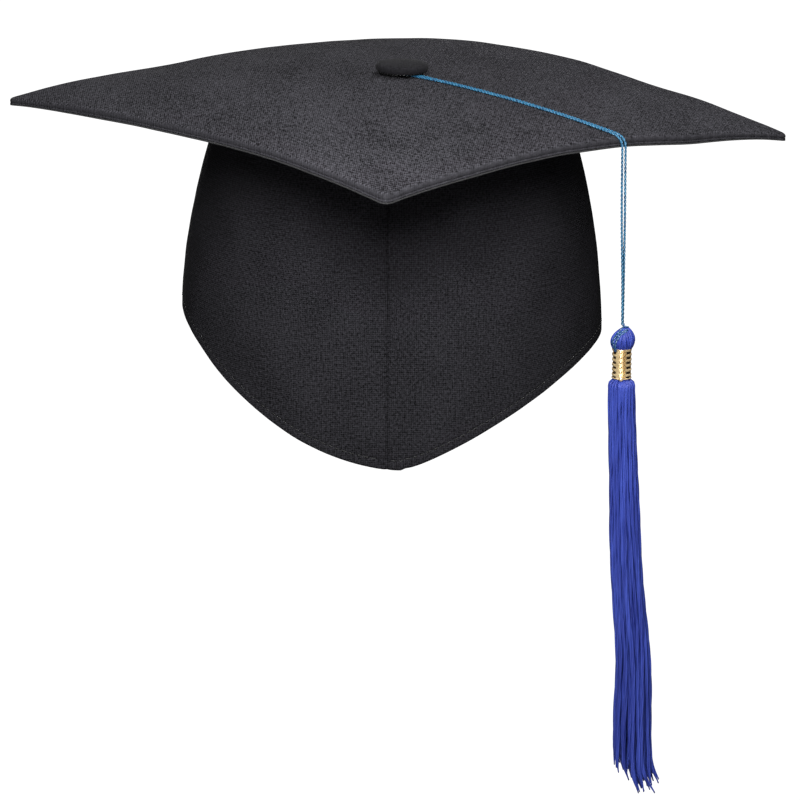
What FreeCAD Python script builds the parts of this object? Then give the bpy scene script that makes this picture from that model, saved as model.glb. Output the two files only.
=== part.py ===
import FreeCAD, Part
import math
import os

import Sketcher

# Graduation cap, in millimetres.
# +Z is up and -Y is the front, where one corner of the board and the low point
# of the crown are. The origin is the centre of the head opening, a little above
# the crown's lower edge over the ears.

Vector = FreeCAD.Vector
Z_AXIS = Vector(0, 0, 1)

SIZES = {
    # Board: a domed stack of cover, padding, card core and cover.
    "board_side": 241.0,
    "board_corner": 4.0,
    "board_top": 102.0,
    "dome_radius": 800.0,
    "cover": 0.7,
    "padding": 1.0,
    "core": 2.1,
    "edge_round": 1.6,
    "prism_base": 60.0,
    "prism_height": 60.0,
    # Crown: a bulged band, widest a little under the ears.
    "crown_radius": 92.0,
    "crown_wide_depth": 13.0,
    "crown_bulge": 310.0,
    "crown_skirt": 62.0,
    "panel": 1.1,
    "stiffener": 0.8,
    "lining": 0.5,
    "band": 1.2,
    "tape": 0.5,
    "elastic": 1.0,
    "tip": 0.8,
    "tip_radius": 70.0,
    "tape_angle": 8.0,
    "elastic_angle": 110.0,
    # Lower edge of the crown.
    "hem_half_width": 91.7,
    "hem_ear_depth": 4.6,
    "hem_front_depth": 52.3,
    "hem_front_power": 1.55,
    "hem_back_depth": 40.0,
    "hem_back_power": 2.0,
    "panel_rise": 0.0,
    "stiffener_rise": 6.0,
    "lining_rise": 2.0,
    "band_rise": 1.0,
    "band_top_rise": 26.0,
    "elastic_rise": 4.0,
    "elastic_top_rise": 16.0,
    # Button and its shank.
    "button_radius": 11.5,
    "button_height": 4.2,
    "button_gap": 1.7,
    "button_skin": 0.6,
    "button_round": 2.0,
    "button_plate": 0.6,
    "shank_radius": 1.5,
    "shank_hole": 1.6,
    "shank_tail": 1.2,
    "washer_radius": 6.0,
    "washer": 0.8,
    # Tassel, hanging from the front right edge.
    "cord_azimuth": -38.1,
    "cord_radius": 0.5,
    "drop_reach": 122.7,
    "knot_top": 9.6,
    "knot_height": 2.4,
    "knot_radius": 2.2,
    "head_height": 8.8,
    "head_radius": 4.9,
    "ferrule_height": 13.0,
    "ferrule_radius": 4.1,
    "ferrule_wall": 0.4,
    "ferrule_rim": 0.35,
    "yarn_gap": 0.1,
    "skirt_length": 179.5,
    "skirt_top_radius": 5.3,
    "skirt_end_radius": 8.0,
}

# One half of the tassel's loop of cord, as (along, aside, height): along is the
# distance from the button's axis towards the edge, aside the distance from the
# middle of the pair. It starts behind the shank, lies on the dome, turns over
# the rounded edge and hangs to the knot. The other half is its mirror image.
LOOP_HALF = [
    (-2.6, 1.1, 102.85),
    (-0.9, 2.7, 102.85),
    (3.0, 2.0, 102.85),
    (8.0, 1.2, 102.85),
    (17.0, 0.62, 102.70),
    (34.0, 0.55, 102.13),
    (62.0, 0.60, 100.45),
    (90.0, 0.55, 97.78),
    (107.0, 0.65, 95.68),
    (115.2, 0.80, 95.02),
    (120.2, 0.95, 94.70),
    (122.7, 1.10, 92.20),
    (122.7, 1.10, 84.40),
]
DROP_HALF = [
    (122.7, 1.10, 84.40),
    (122.8, 0.75, 48.00),
    (122.7, 0.55, 9.60),
]
ARC_SHARE = 0.45

doc = FreeCAD.newDocument("graduation_cap")
sheet = doc.addObject("Spreadsheet::Sheet", "Sizes")
for row, (alias, value) in enumerate(SIZES.items(), start=1):
    sheet.set(f"A{row}", alias)
    sheet.set(f"B{row}", str(value))
    sheet.setAlias(f"B{row}", alias)
doc.recompute()

sub_parts = []


def size(alias):
    return float(sheet.get(alias))


def bind(obj, expressions):
    for prop, expression in expressions.items():
        obj.setExpression(prop, expression)
    return obj


def helper(kind, name, expressions=None):
    return bind(doc.addObject(kind, name), expressions or {})


def sub_part(obj, label):
    obj.Label = label
    sub_parts.append(obj)
    return obj


def cut(name, base, tool):
    result = helper("Part::Cut", name)
    result.Base = base
    result.Tool = tool
    return result


def common(name, base, tool):
    result = helper("Part::Common", name)
    result.Base = base
    result.Tool = tool
    return result


def fuse(name, shapes):
    result = helper("Part::MultiFuse", name)
    result.Shapes = shapes
    return result


# ---------------------------------------------------------------- board

DOME_CENTRE = "Sizes.board_top - Sizes.dome_radius"
DEPTH_UNDER_TOP = {
    "top": "0",
    "padding_top": "Sizes.cover",
    "core_top": "Sizes.cover + Sizes.padding",
    "core_under": "Sizes.cover + Sizes.padding + Sizes.core",
    "under": "2 * Sizes.cover + Sizes.padding + Sizes.core",
    "tip_under": "2 * Sizes.cover + Sizes.padding + Sizes.core + Sizes.tip",
}


def rounded_square(name, side, corner, side_value, corner_value):
    """A sketch of a centred square with rounded corners."""
    sketch = helper("Sketcher::SketchObject", name)
    half = side_value / 2
    inner = half - corner_value
    starts = [(-inner, -half), (half, -inner), (inner, half), (-half, inner)]
    ends = [(inner, -half), (half, inner), (-inner, half), (-half, -inner)]
    centres = [(inner, -inner), (inner, inner), (-inner, inner), (-inner, -inner)]
    for start, end in zip(starts, ends):
        sketch.addGeometry(Part.LineSegment(Vector(*start, 0), Vector(*end, 0)))
    for quarter, centre in enumerate(centres):
        first = (quarter - 1) * math.pi / 2
        circle = Part.Circle(Vector(*centre, 0), Z_AXIS, corner_value)
        sketch.addGeometry(Part.ArcOfCircle(circle, first, first + math.pi / 2))
    for side_index in range(4):
        arc = 4 + side_index
        following = (side_index + 1) % 4
        sketch.addConstraint(Sketcher.Constraint("Tangent", side_index, 2, arc, 1))
        sketch.addConstraint(Sketcher.Constraint("Tangent", arc, 2, following, 1))
        direction = "Horizontal" if side_index % 2 == 0 else "Vertical"
        sketch.addConstraint(Sketcher.Constraint(direction, side_index))
    for arc in (5, 6, 7):
        sketch.addConstraint(Sketcher.Constraint("Equal", 4, arc))
    sketch.addConstraint(Sketcher.Constraint("Symmetric", 4, 3, 6, 3, -1, 1))
    measures = [
        ("corner", Sketcher.Constraint("Radius", 4, corner_value), corner),
        ("wide", Sketcher.Constraint("DistanceX", 3, 1, 1, 1, side_value), side),
        ("deep", Sketcher.Constraint("DistanceY", 0, 1, 2, 1, side_value), side),
    ]
    for label, constraint, expression in measures:
        index = sketch.addConstraint(constraint)
        sketch.renameConstraint(index, label)
        sketch.setExpression(f"Constraints.{label}", expression)
    return sketch


def board_prism(name, inset):
    """An upright rounded square prism whose corners point along X and Y."""
    side = f"Sizes.board_side - 2 * {inset}"
    corner = f"Sizes.board_corner - {inset}"
    inset_value = size("cover") if inset != "0" else 0.0
    sketch = rounded_square(
        name + "_outline",
        side,
        corner,
        size("board_side") - 2 * inset_value,
        size("board_corner") - inset_value,
    )
    prism = helper("Part::Extrusion", name)
    prism.Base = sketch
    prism.DirMode = "Custom"
    prism.Dir = Z_AXIS
    prism.Solid = True
    prism.Placement = FreeCAD.Placement(Vector(), FreeCAD.Rotation(Z_AXIS, 45))
    bind(prism, {"LengthFwd": "Sizes.prism_height", "Placement.Base.z": "Sizes.prism_base"})
    return prism


def dome_layer(name, upper, lower):
    """The space between two spheres that share the dome's centre."""
    spheres = []
    for tag, depth in (("upper", upper), ("lower", lower)):
        radius = f"Sizes.dome_radius - ({DEPTH_UNDER_TOP[depth]})"
        sphere = helper("Part::Sphere", f"{name}_{tag}")
        spheres.append(bind(sphere, {"Radius": radius, "Placement.Base.z": DOME_CENTRE}))
    return cut(name, *spheres)


def shank_passage():
    passage = helper("Part::Cylinder", "shank_passage")
    return bind(
        passage,
        {
            "Radius": "Sizes.shank_hole",
            "Height": "Sizes.prism_height",
            "Placement.Base.z": "Sizes.prism_base",
        },
    )


def make_board():
    outer = board_prism("outer_prism", "0")
    inner = board_prism("inner_prism", "Sizes.cover")
    passage = shank_passage()

    wrap = common("wrap_block", outer, dome_layer("wrap_layer", "top", "core_under"))
    doc.recompute()
    rounded = helper("Part::Fillet", "wrap_rounded")
    rounded.Base = wrap
    rounded.Edges = [(edge, size("edge_round"), size("edge_round")) for edge in top_edges(wrap)]
    filling = common("filling", inner, dome_layer("filling_layer", "padding_top", "core_under"))
    sub_part(cut("top_cover", cut("top_wrap", rounded, filling), passage), "board_top_cover")

    layers = [
        ("board_padding", inner, "padding_top", "core_top"),
        ("board_core", inner, "core_top", "core_under"),
        ("board_bottom_cover", outer, "core_under", "under"),
    ]
    for label, prism, upper, lower in layers:
        plate = common(label + "_plate", prism, dome_layer(label + "_layer", upper, lower))
        sub_part(cut(label, plate, passage), label)


def top_edges(block):
    """Numbers of the edges round the block's upper, outer rim."""
    numbers = []
    radius = size("dome_radius")
    centre = Vector(0, 0, size("board_top") - radius)
    for number, edge in enumerate(block.Shape.Edges, start=1):
        middle = edge.valueAt((edge.FirstParameter + edge.LastParameter) / 2)
        on_top = abs(middle.distanceToPoint(centre) - radius) < 0.01
        on_rim = math.hypot(middle.x, middle.y) > size("board_side") / 2 - 1
        vertical = abs(edge.Vertexes[0].Z - edge.Vertexes[-1].Z) > 10
        if on_top and on_rim and not vertical:
            numbers.append(number)
    return numbers


# ---------------------------------------------------------------- crown

CROWN_LAYERS = {
    "panel": ("0", "Sizes.panel"),
    "stiffener": ("Sizes.panel", "Sizes.panel + Sizes.stiffener"),
    "lining": ("Sizes.panel + Sizes.stiffener", "Sizes.panel + Sizes.stiffener + Sizes.lining"),
}
LINED = CROWN_LAYERS["lining"][1]
CROWN_LAYERS["tape"] = (LINED, f"{LINED} + Sizes.tape")
CROWN_LAYERS["band"] = (LINED, f"{LINED} + Sizes.band")
CROWN_LAYERS["elastic"] = (f"{LINED} + Sizes.band", f"{LINED} + Sizes.band + Sizes.elastic")


def evaluate(expression):
    return float(sheet.evalExpression(expression))


def crossing(radius, top_radius):
    """Where the crown's arc of that radius meets the dome sphere of top_radius."""
    crown_x = size("crown_radius") - size("crown_bulge")
    crown_z = -size("crown_wide_depth")
    dome_z = size("board_top") - size("dome_radius")
    gap = math.hypot(crown_x, dome_z - crown_z)
    along = (radius**2 - top_radius**2 + gap**2) / (2 * gap)
    aside = math.sqrt(radius**2 - along**2)
    step_x = -crown_x / gap
    step_z = (dome_z - crown_z) / gap
    return Vector(
        crown_x + along * step_x - aside * step_z, crown_z + along * step_z + aside * step_x, 0
    )


def arc_between(centre, radius, first, last):
    start = math.atan2(first.y - centre.y, first.x - centre.x)
    end = math.atan2(last.y - centre.y, last.x - centre.x)
    return Part.ArcOfCircle(Part.Circle(centre, Z_AXIS, radius), start, end)


def crown_section(name, layer, top_depth):
    """Upright section of one crown layer, closed above by the board's underside."""
    outer_text, inner_text = CROWN_LAYERS[layer]
    top_text = DEPTH_UNDER_TOP[top_depth]
    outer = size("crown_bulge") - evaluate(outer_text)
    inner = size("crown_bulge") - evaluate(inner_text)
    top = size("dome_radius") - evaluate(top_text)
    centre = Vector(size("crown_radius") - size("crown_bulge"), -size("crown_wide_depth"), 0)
    dome_centre = Vector(0, size("board_top") - size("dome_radius"), 0)
    low = -size("crown_skirt")
    low_points = [
        Vector(centre.x + math.sqrt(radius**2 - (low - centre.y) ** 2), low, 0)
        for radius in (outer, inner)
    ]
    high_points = [crossing(radius, top) for radius in (outer, inner)]

    sketch = helper("Sketcher::SketchObject", name)
    sketch.Placement = FreeCAD.Placement(Vector(), FreeCAD.Rotation(Vector(1, 0, 0), 90))
    sketch.addGeometry(arc_between(centre, outer, low_points[0], high_points[0]))
    sketch.addGeometry(arc_between(dome_centre, top, high_points[0], high_points[1]))
    sketch.addGeometry(arc_between(centre, inner, low_points[1], high_points[1]))
    sketch.addGeometry(Part.LineSegment(low_points[1], low_points[0]))
    joins = [(0, 2, 1, 1), (1, 2, 2, 2), (2, 1, 3, 1), (3, 2, 0, 1), (0, 3, 2, 3)]
    for join in joins:
        sketch.addConstraint(Sketcher.Constraint("Coincident", *join))
    sketch.addConstraint(Sketcher.Constraint("PointOnObject", 1, 3, -2))
    sketch.addConstraint(Sketcher.Constraint("Horizontal", 3))
    measures = [
        ("outer", Sketcher.Constraint("Radius", 0, outer), f"Sizes.crown_bulge - ({outer_text})"),
        ("inner", Sketcher.Constraint("Radius", 2, inner), f"Sizes.crown_bulge - ({inner_text})"),
        ("top", Sketcher.Constraint("Radius", 1, top), f"Sizes.dome_radius - ({top_text})"),
        (
            "dome_drop",
            Sketcher.Constraint("DistanceY", 1, 3, -1, 1, -dome_centre.y),
            "Sizes.dome_radius - Sizes.board_top",
        ),
        (
            "bulge_reach",
            Sketcher.Constraint("DistanceX", 0, 3, -1, 1, -centre.x),
            "Sizes.crown_bulge - Sizes.crown_radius",
        ),
        (
            "wide_depth",
            Sketcher.Constraint("DistanceY", 0, 3, -1, 1, -centre.y),
            "Sizes.crown_wide_depth",
        ),
        (
            "low_end",
            Sketcher.Constraint("DistanceY", 3, 1, -1, 1, -low),
            "Sizes.crown_skirt",
        ),
    ]
    for label, constraint, expression in measures:
        index = sketch.addConstraint(constraint)
        sketch.renameConstraint(index, label)
        sketch.setExpression(f"Constraints.{label}", expression)
    return sketch


def crown_sweep(name, layer, turn, facing, top_depth="under"):
    """One crown layer turned about Z through an angle, its middle facing a direction."""
    revolution = helper("Part::Revolution", name + "_turn")
    revolution.Source = crown_section(name + "_section", layer, top_depth)
    revolution.Axis = Z_AXIS
    revolution.Symmetric = True
    revolution.Solid = True
    revolution.Placement = FreeCAD.Placement(Vector(), FreeCAD.Rotation(Z_AXIS, facing))
    revolution.setExpression("Angle", turn)
    return revolution


def hem_height(aside, depth, power):
    """Height of the lower edge: low in the middle, and level with the ears at the sides."""
    share = 1 - (abs(aside) / size("hem_half_width")) ** power
    return -size("hem_ear_depth") - (depth - size("hem_ear_depth")) * share


def hem_tool(name, rise):
    """Everything below the crown's lower edge, moved up by rise."""
    reach = size("crown_radius") + 4
    floor = -2 * size("crown_skirt")
    halves = []
    for end, side in (("front", -1), ("back", 1)):
        depth = size(f"hem_{end}_depth")
        power = size(f"hem_{end}_power")
        stations = [reach * step / 8 for step in range(-8, 9)]
        curve = Part.BSplineCurve()
        curve.interpolate([Vector(x, 0, hem_height(x, depth, power)) for x in stations])
        corners = [
            curve.EndPoint,
            Vector(reach, 0, floor),
            Vector(-reach, 0, floor),
            curve.StartPoint,
        ]
        lines = [Part.LineSegment(*pair).toShape() for pair in zip(corners, corners[1:])]
        face = Part.Face(Part.Wire([curve.toShape()] + lines))
        halves.append(face.extrude(Vector(0, side * reach, 0)))
    tool = doc.addObject("Part::Feature", name)
    tool.Shape = halves[0].fuse(halves[1])
    bind(tool, {"Placement.Base.z": rise})
    return tool


def make_crown():
    hem = hem_tool("hem_edge", "Sizes.panel_rise")
    stiffener_edge = hem_tool("stiffener_edge", "Sizes.stiffener_rise")
    lining_edge = hem_tool("lining_edge", "Sizes.lining_rise")
    band_edge = hem_tool("band_edge", "Sizes.band_rise")
    band_top = hem_tool("band_top", "Sizes.band_top_rise")
    elastic_edge = hem_tool("elastic_edge", "Sizes.elastic_rise")
    elastic_top = hem_tool("elastic_top", "Sizes.elastic_top_rise")

    halves = [("right", 0), ("left", 180)]
    layers = [("panel", hem), ("stiffener", stiffener_edge), ("lining", lining_edge)]
    for layer, edge in layers:
        for side, facing in halves:
            label = f"crown_{layer}_{side}"
            half = crown_sweep(label, layer, "180", facing)
            sub_part(cut(label, half, edge), label)

    ends = [("front", -90), ("back", 90)]
    for end, facing in ends:
        label = f"{end}_seam_tape"
        strip = crown_sweep(label, "tape", "Sizes.tape_angle", facing, "tip_under")
        sub_part(cut(label, strip, band_top), label)

    ring = crown_sweep("sweatband", "band", "360", 0)
    low_ring = common("low_ring", ring, band_top)
    sub_part(cut("sweatband", low_ring, band_edge), "sweatband")

    arc = crown_sweep("elastic", "elastic", "Sizes.elastic_angle", 90)
    low_arc = common("low_arc", arc, elastic_top)
    sub_part(cut("elastic", low_arc, elastic_edge), "elastic_band")

    disc = helper(
        "Part::Cylinder",
        "tip_disc",
        {
            "Radius": "Sizes.tip_radius",
            "Height": "Sizes.prism_height",
            "Placement.Base.z": "Sizes.prism_base",
        },
    )
    tip = common("tip_plate", disc, dome_layer("tip_layer", "under", "tip_under"))
    sub_part(cut("tip", tip, doc.getObject("shank_passage")), "crown_tip")


# ---------------------------------------------------------------- button

BUTTON_BASE = "Sizes.board_top + Sizes.button_gap"
PLATE_RADIUS = "Sizes.button_radius - Sizes.button_skin - 0.3"
TIP_UNDER = f"Sizes.board_top - ({DEPTH_UNDER_TOP['tip_under']})"


def origin_plane(body, role):
    return next(plane for plane in body.Origin.OriginFeatures if plane.Role == role)


def disc_sketch(body, name, radius, height):
    """A circle about Z on the body's own XY plane, raised to a height."""
    sketch = body.newObject("Sketcher::SketchObject", name)
    sketch.AttachmentSupport = (origin_plane(body, "XY_Plane"), [""])
    sketch.MapMode = "FlatFace"
    sketch.addGeometry(Part.Circle(Vector(), Z_AXIS, evaluate(radius)))
    sketch.addConstraint(Sketcher.Constraint("Coincident", 0, 3, -1, 1))
    index = sketch.addConstraint(Sketcher.Constraint("Radius", 0, evaluate(radius)))
    sketch.renameConstraint(index, "radius")
    sketch.setExpression("Constraints.radius", radius)
    sketch.setExpression("AttachmentOffset.Base.z", height)
    return sketch


def padded_disc(body, name, radius, height, thickness):
    pad = body.newObject("PartDesign::Pad", name)
    pad.Profile = disc_sketch(body, name + "_sketch", radius, height)
    pad.setExpression("Length", thickness)
    doc.recompute()
    return pad


def rim_at(feature, height, radius):
    """Name of the feature's circular edge at a height, with that radius."""
    for number, edge in enumerate(feature.Shape.Edges, start=1):
        curve = edge.Curve
        if isinstance(curve, Part.Circle) and abs(curve.Center.z - height) < 0.01:
            if abs(curve.Radius - radius) < 0.01:
                return f"Edge{number}"
    raise ValueError("no such rim")


def round_rim(body, name, feature, height, radius, fillet_radius):
    fillet = body.newObject("PartDesign::Fillet", name)
    fillet.Base = (feature, [rim_at(feature, evaluate(height), evaluate(radius))])
    fillet.setExpression("Radius", fillet_radius)
    doc.recompute()
    return fillet


def button_cover():
    """Cloth skin, open underneath, with a rounded rim."""
    body = helper("PartDesign::Body", "cover_body")
    top = f"{BUTTON_BASE} + Sizes.button_height"
    inner = "Sizes.button_radius - Sizes.button_skin"
    pad = padded_disc(
        body, "cover_pad", "Sizes.button_radius", BUTTON_BASE, "Sizes.button_height"
    )
    rounded = round_rim(
        body, "cover_rim", pad, top, "Sizes.button_radius", "Sizes.button_round"
    )
    solid_volume = rounded.Shape.Volume
    pocket = body.newObject("PartDesign::Pocket", "cover_hollow")
    pocket.Profile = disc_sketch(body, "cover_hollow_sketch", inner, BUTTON_BASE)
    pocket.Reversed = True
    pocket.setExpression("Length", "Sizes.button_height - Sizes.button_skin")
    doc.recompute()
    if pocket.Shape.Volume > 0.7 * solid_volume:
        raise ValueError("the button cover is not hollow")
    hollow_top = f"{top} - Sizes.button_skin"
    round_rim(
        body, "cover_hollow_rim", pocket, hollow_top, inner, "Sizes.button_round - Sizes.button_skin"
    )
    sub_part(body, "button_cover")


def button_shell():
    """Pressed disc that fills the cloth skin."""
    body = helper("PartDesign::Body", "shell_body")
    radius = "Sizes.button_radius - Sizes.button_skin"
    base = f"{BUTTON_BASE} + Sizes.button_plate"
    thickness = "Sizes.button_height - Sizes.button_skin - Sizes.button_plate"
    pad = padded_disc(body, "shell_pad", radius, base, thickness)
    round_rim(
        body,
        "shell_rim",
        pad,
        f"{base} + {thickness}",
        radius,
        "Sizes.button_round - Sizes.button_skin",
    )
    sub_part(body, "button_shell")


def make_button():
    button_cover()
    button_shell()
    plate = helper("PartDesign::Body", "plate_body")
    padded_disc(plate, "plate_pad", PLATE_RADIUS, BUTTON_BASE, "Sizes.button_plate")
    sub_part(plate, "button_back_plate")

    shank = helper(
        "Part::Cylinder",
        "shank_post",
        {
            "Radius": "Sizes.shank_radius",
            "Height": f"{BUTTON_BASE} - ({TIP_UNDER}) + Sizes.washer + Sizes.shank_tail",
            "Placement.Base.z": f"{TIP_UNDER} - Sizes.washer - Sizes.shank_tail",
        },
    )
    tail = helper(
        "Part::Cylinder",
        "shank_knot",
        {
            "Radius": "2 * Sizes.shank_radius",
            "Height": "Sizes.shank_tail",
            "Placement.Base.z": f"{TIP_UNDER} - Sizes.washer - Sizes.shank_tail",
        },
    )
    sub_part(fuse("shank", [shank, tail]), "button_shank")

    washer = helper("PartDesign::Body", "washer_body")
    pad = padded_disc(
        washer,
        "washer_pad",
        "Sizes.washer_radius",
        f"{TIP_UNDER} - Sizes.washer",
        "Sizes.washer - 0.03",
    )
    solid_volume = pad.Shape.Volume
    hole = washer.newObject("PartDesign::Pocket", "washer_hole")
    hole.Profile = disc_sketch(
        washer, "washer_hole_sketch", "Sizes.shank_hole", f"{TIP_UNDER} - Sizes.washer"
    )
    hole.Reversed = True
    hole.setExpression("Length", "Sizes.washer")
    doc.recompute()
    if hole.Shape.Volume > 0.99 * solid_volume:
        raise ValueError("the washer has no hole")
    sub_part(washer, "button_washer")


# ---------------------------------------------------------------- tassel

AXIS_X = "Sizes.drop_reach * cos(Sizes.cord_azimuth)"
AXIS_Y = "Sizes.drop_reach * sin(Sizes.cord_azimuth)"
HEAD_TOP = "Sizes.knot_top - Sizes.knot_height"
FERRULE_TOP = f"{HEAD_TOP} - Sizes.head_height"
SKIRT_TOP = f"{FERRULE_TOP} - Sizes.ferrule_height"


def on_axis(obj, height):
    """Put an object on the tassel's hanging axis, at a height."""
    return bind(
        obj,
        {"Placement.Base.x": AXIS_X, "Placement.Base.y": AXIS_Y, "Placement.Base.z": height},
    )


def bead(name, radius, height, top):
    """An ellipsoid with a flat top and bottom."""
    middle = f"{top} - {height} / 2"
    ball = helper("Part::Ellipsoid", name + "_ball")
    bind(ball, {"Radius1": f"0.57 * {height}", "Radius2": radius, "Radius3": radius})
    on_axis(ball, middle)
    slab = helper("Part::Cylinder", name + "_slab")
    bind(slab, {"Radius": f"1.2 * {radius}", "Height": height})
    on_axis(slab, f"{top} - {height}")
    return common(name, ball, slab)


def tube(name, radius, height, bottom):
    obj = helper("Part::Cylinder", name)
    bind(obj, {"Radius": radius, "Height": height})
    return on_axis(obj, bottom)


def ferrule():
    outer = tube("ferrule_outer", "Sizes.ferrule_radius", "Sizes.ferrule_height", SKIRT_TOP)
    rims = []
    heights = {
        "lower": f"{SKIRT_TOP} + Sizes.ferrule_rim",
        "upper": f"{FERRULE_TOP} - Sizes.ferrule_rim",
    }
    for end, height in heights.items():
        rim = helper("Part::Torus", f"ferrule_{end}_rim")
        bind(rim, {"Radius1": "Sizes.ferrule_radius - 0.05", "Radius2": "Sizes.ferrule_rim"})
        rims.append(on_axis(rim, height))
    bore_radius = "Sizes.ferrule_radius - Sizes.ferrule_wall"
    bore = tube("ferrule_bore", bore_radius, "Sizes.ferrule_height + 2", f"{SKIRT_TOP} - 1")
    return cut("ferrule", fuse("ferrule_body", [outer] + rims), bore)


def make_tassel():
    knot = bead("knot", "Sizes.knot_radius", "Sizes.knot_height", "Sizes.knot_top")
    sub_part(knot, "tassel_knot")
    head = bead("head", "Sizes.head_radius", "Sizes.head_height", HEAD_TOP)
    sub_part(head, "tassel_head")
    sub_part(ferrule(), "tassel_ferrule")
    yarn_radius = "Sizes.ferrule_radius - Sizes.ferrule_wall - Sizes.yarn_gap"
    yarn = tube("yarn", yarn_radius, "Sizes.ferrule_height", SKIRT_TOP)
    sub_part(yarn, "tassel_yarn_core")
    skirt = helper("Part::Cone", "skirt")
    bind(
        skirt,
        {
            "Radius1": "Sizes.skirt_end_radius",
            "Radius2": "Sizes.skirt_top_radius",
            "Height": "Sizes.skirt_length",
        },
    )
    sub_part(on_axis(skirt, f"{SKIRT_TOP} - Sizes.skirt_length"), "tassel_skirt")


def place(point, mirror=1):
    """A route point, from the cord's own frame to the cap's."""
    along, aside, height = point
    azimuth = math.radians(size("cord_azimuth"))
    aside *= mirror
    return Vector(
        along * math.cos(azimuth) - aside * math.sin(azimuth),
        along * math.sin(azimuth) + aside * math.cos(azimuth),
        height,
    )


def rounded_route(points):
    """Straight runs joined by tangent arcs, each as large as its runs allow."""
    edges = []
    radii = []
    last = points[0]
    for before, corner, after in zip(points, points[1:], points[2:]):
        into = (corner - before).normalize()
        away = (after - corner).normalize()
        reach = ARC_SHARE * min((corner - before).Length, (after - corner).Length)
        half_turn = into.getAngle(away) / 2
        radius = reach / math.tan(half_turn)
        start = corner - into * reach
        end = corner + away * reach
        inward = (away - into).normalize()
        middle = corner + inward * radius * (1 / math.cos(half_turn) - 1)
        edges.append(Part.LineSegment(last, start).toShape())
        edges.append(Part.Arc(start, middle, end).toShape())
        radii.append(radius)
        last = end
    edges.append(Part.LineSegment(last, points[-1]).toShape())
    return Part.Wire(edges), radii


def cord(name, points):
    """A round cord swept along a rounded route."""
    wire, radii = rounded_route(points)
    route = doc.addObject("Part::Feature", name + "_route")
    route.Shape = wire
    section = helper("Part::Circle", name + "_section", {"Radius": "Sizes.cord_radius"})
    heading = FreeCAD.Rotation(Z_AXIS, points[1] - points[0])
    section.Placement = FreeCAD.Placement(points[0], heading)
    sweep = helper("Part::Sweep", name)
    sweep.Sections = [section]
    sweep.Spine = (route, [f"Edge{number + 1}" for number in range(len(wire.Edges))])
    sweep.Solid = True
    sweep.Frenet = False
    doc.recompute()
    expected = math.pi * size("cord_radius") ** 2 * wire.Length
    print(
        name,
        "length", round(wire.Length, 1),
        "volume over expected", round(sweep.Shape.Volume / expected, 4),
        "radii", [round(radius, 1) for radius in radii],
    )
    return sweep


def make_cords():
    near = [place(point) for point in LOOP_HALF]
    far = [place(point, mirror=-1) for point in LOOP_HALF]
    sub_part(cord("loop", near[::-1] + far), "tassel_loop_cord")
    strands = []
    for name, mirror in (("near_strand", 1), ("far_strand", -1)):
        strands.append(cord(name, [place(point, mirror) for point in DROP_HALF]))
    drop = helper("Part::Compound", "drop")
    drop.Links = strands
    sub_part(drop, "tassel_drop_cord")


make_board()
make_crown()
make_button()
make_tassel()
make_cords()
doc.recompute()

for obj in doc.Objects:
    if "Invalid" in obj.State or "Error" in obj.State:
        raise RuntimeError(f"{obj.Label} failed to compute")
for obj in sub_parts:
    if obj.Shape.isNull() or not obj.Shape.isValid() or not obj.Shape.Solids:
        raise RuntimeError(f"{obj.Label} has no valid solid")

os.makedirs("parts", exist_ok=True)
for obj in sub_parts:
    obj.Shape.exportStep(f"parts/{obj.Label}.step")
    print(obj.Label, len(obj.Shape.Solids), round(obj.Shape.Volume, 1))
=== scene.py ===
"""Looks of a graduation cap: cloth, cord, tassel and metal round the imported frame, in metres."""

import random
from math import cos, exp, pi, radians, sin, sqrt

import bpy
import bmesh
from mathutils import Matrix, Vector, noise


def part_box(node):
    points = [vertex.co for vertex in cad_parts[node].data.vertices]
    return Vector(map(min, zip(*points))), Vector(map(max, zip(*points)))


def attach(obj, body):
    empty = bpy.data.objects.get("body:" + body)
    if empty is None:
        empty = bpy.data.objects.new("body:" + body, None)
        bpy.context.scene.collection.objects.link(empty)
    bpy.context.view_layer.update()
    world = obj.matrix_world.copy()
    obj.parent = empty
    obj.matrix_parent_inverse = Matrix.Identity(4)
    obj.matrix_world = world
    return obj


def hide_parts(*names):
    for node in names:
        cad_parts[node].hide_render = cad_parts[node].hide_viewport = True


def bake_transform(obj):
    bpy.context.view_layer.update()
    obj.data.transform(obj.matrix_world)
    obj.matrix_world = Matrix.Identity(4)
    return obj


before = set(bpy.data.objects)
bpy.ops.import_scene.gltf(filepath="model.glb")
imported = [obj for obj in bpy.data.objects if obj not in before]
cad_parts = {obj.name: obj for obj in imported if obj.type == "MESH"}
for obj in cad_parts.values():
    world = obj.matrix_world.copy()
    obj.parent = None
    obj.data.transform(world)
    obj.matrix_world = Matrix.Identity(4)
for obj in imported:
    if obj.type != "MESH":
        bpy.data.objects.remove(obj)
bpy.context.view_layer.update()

MM = 0.001
UP = Vector((0, 0, 1))

# ---------------------------------------------------------------- sizes

BOARD_SIDE = 241 * MM
BOARD_CORNER = 4 * MM
BOARD_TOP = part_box("board_top_cover")[1].z
DOME_RADIUS = 800 * MM
WADDING_DEPTH = 0.7 * MM
CARD_DEPTH = 1.7 * MM
UNDER_DEPTH = 3.8 * MM
BOARD_THICKNESS = 4.5 * MM
TIP_THICKNESS = 0.8 * MM
PASSAGE_RADIUS = 1.6 * MM
BOARD_REACH = BOARD_SIDE / sqrt(2)
LEAN = 2.6 * MM
TWIST = 2.6 * MM
# Places where the worn board has sagged or lifted: x, y, width, height, in millimetres.
DENTS_MM = [
    (-107, 63, 50, -1.8),
    (-90, -75, 45, -0.9),
    (20, 150, 55, 2.8),
    (70, 95, 42, 1.1),
    (112, 60, 34, -2.1),
    (147, 20, 22, -0.8),
    (125, -42, 30, -1.2),
]
RIPPLE = 0.55 * MM
# The worn board and crown sit a little to one side of the button.
BOARD_SHIFT = -1.7 * MM

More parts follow.
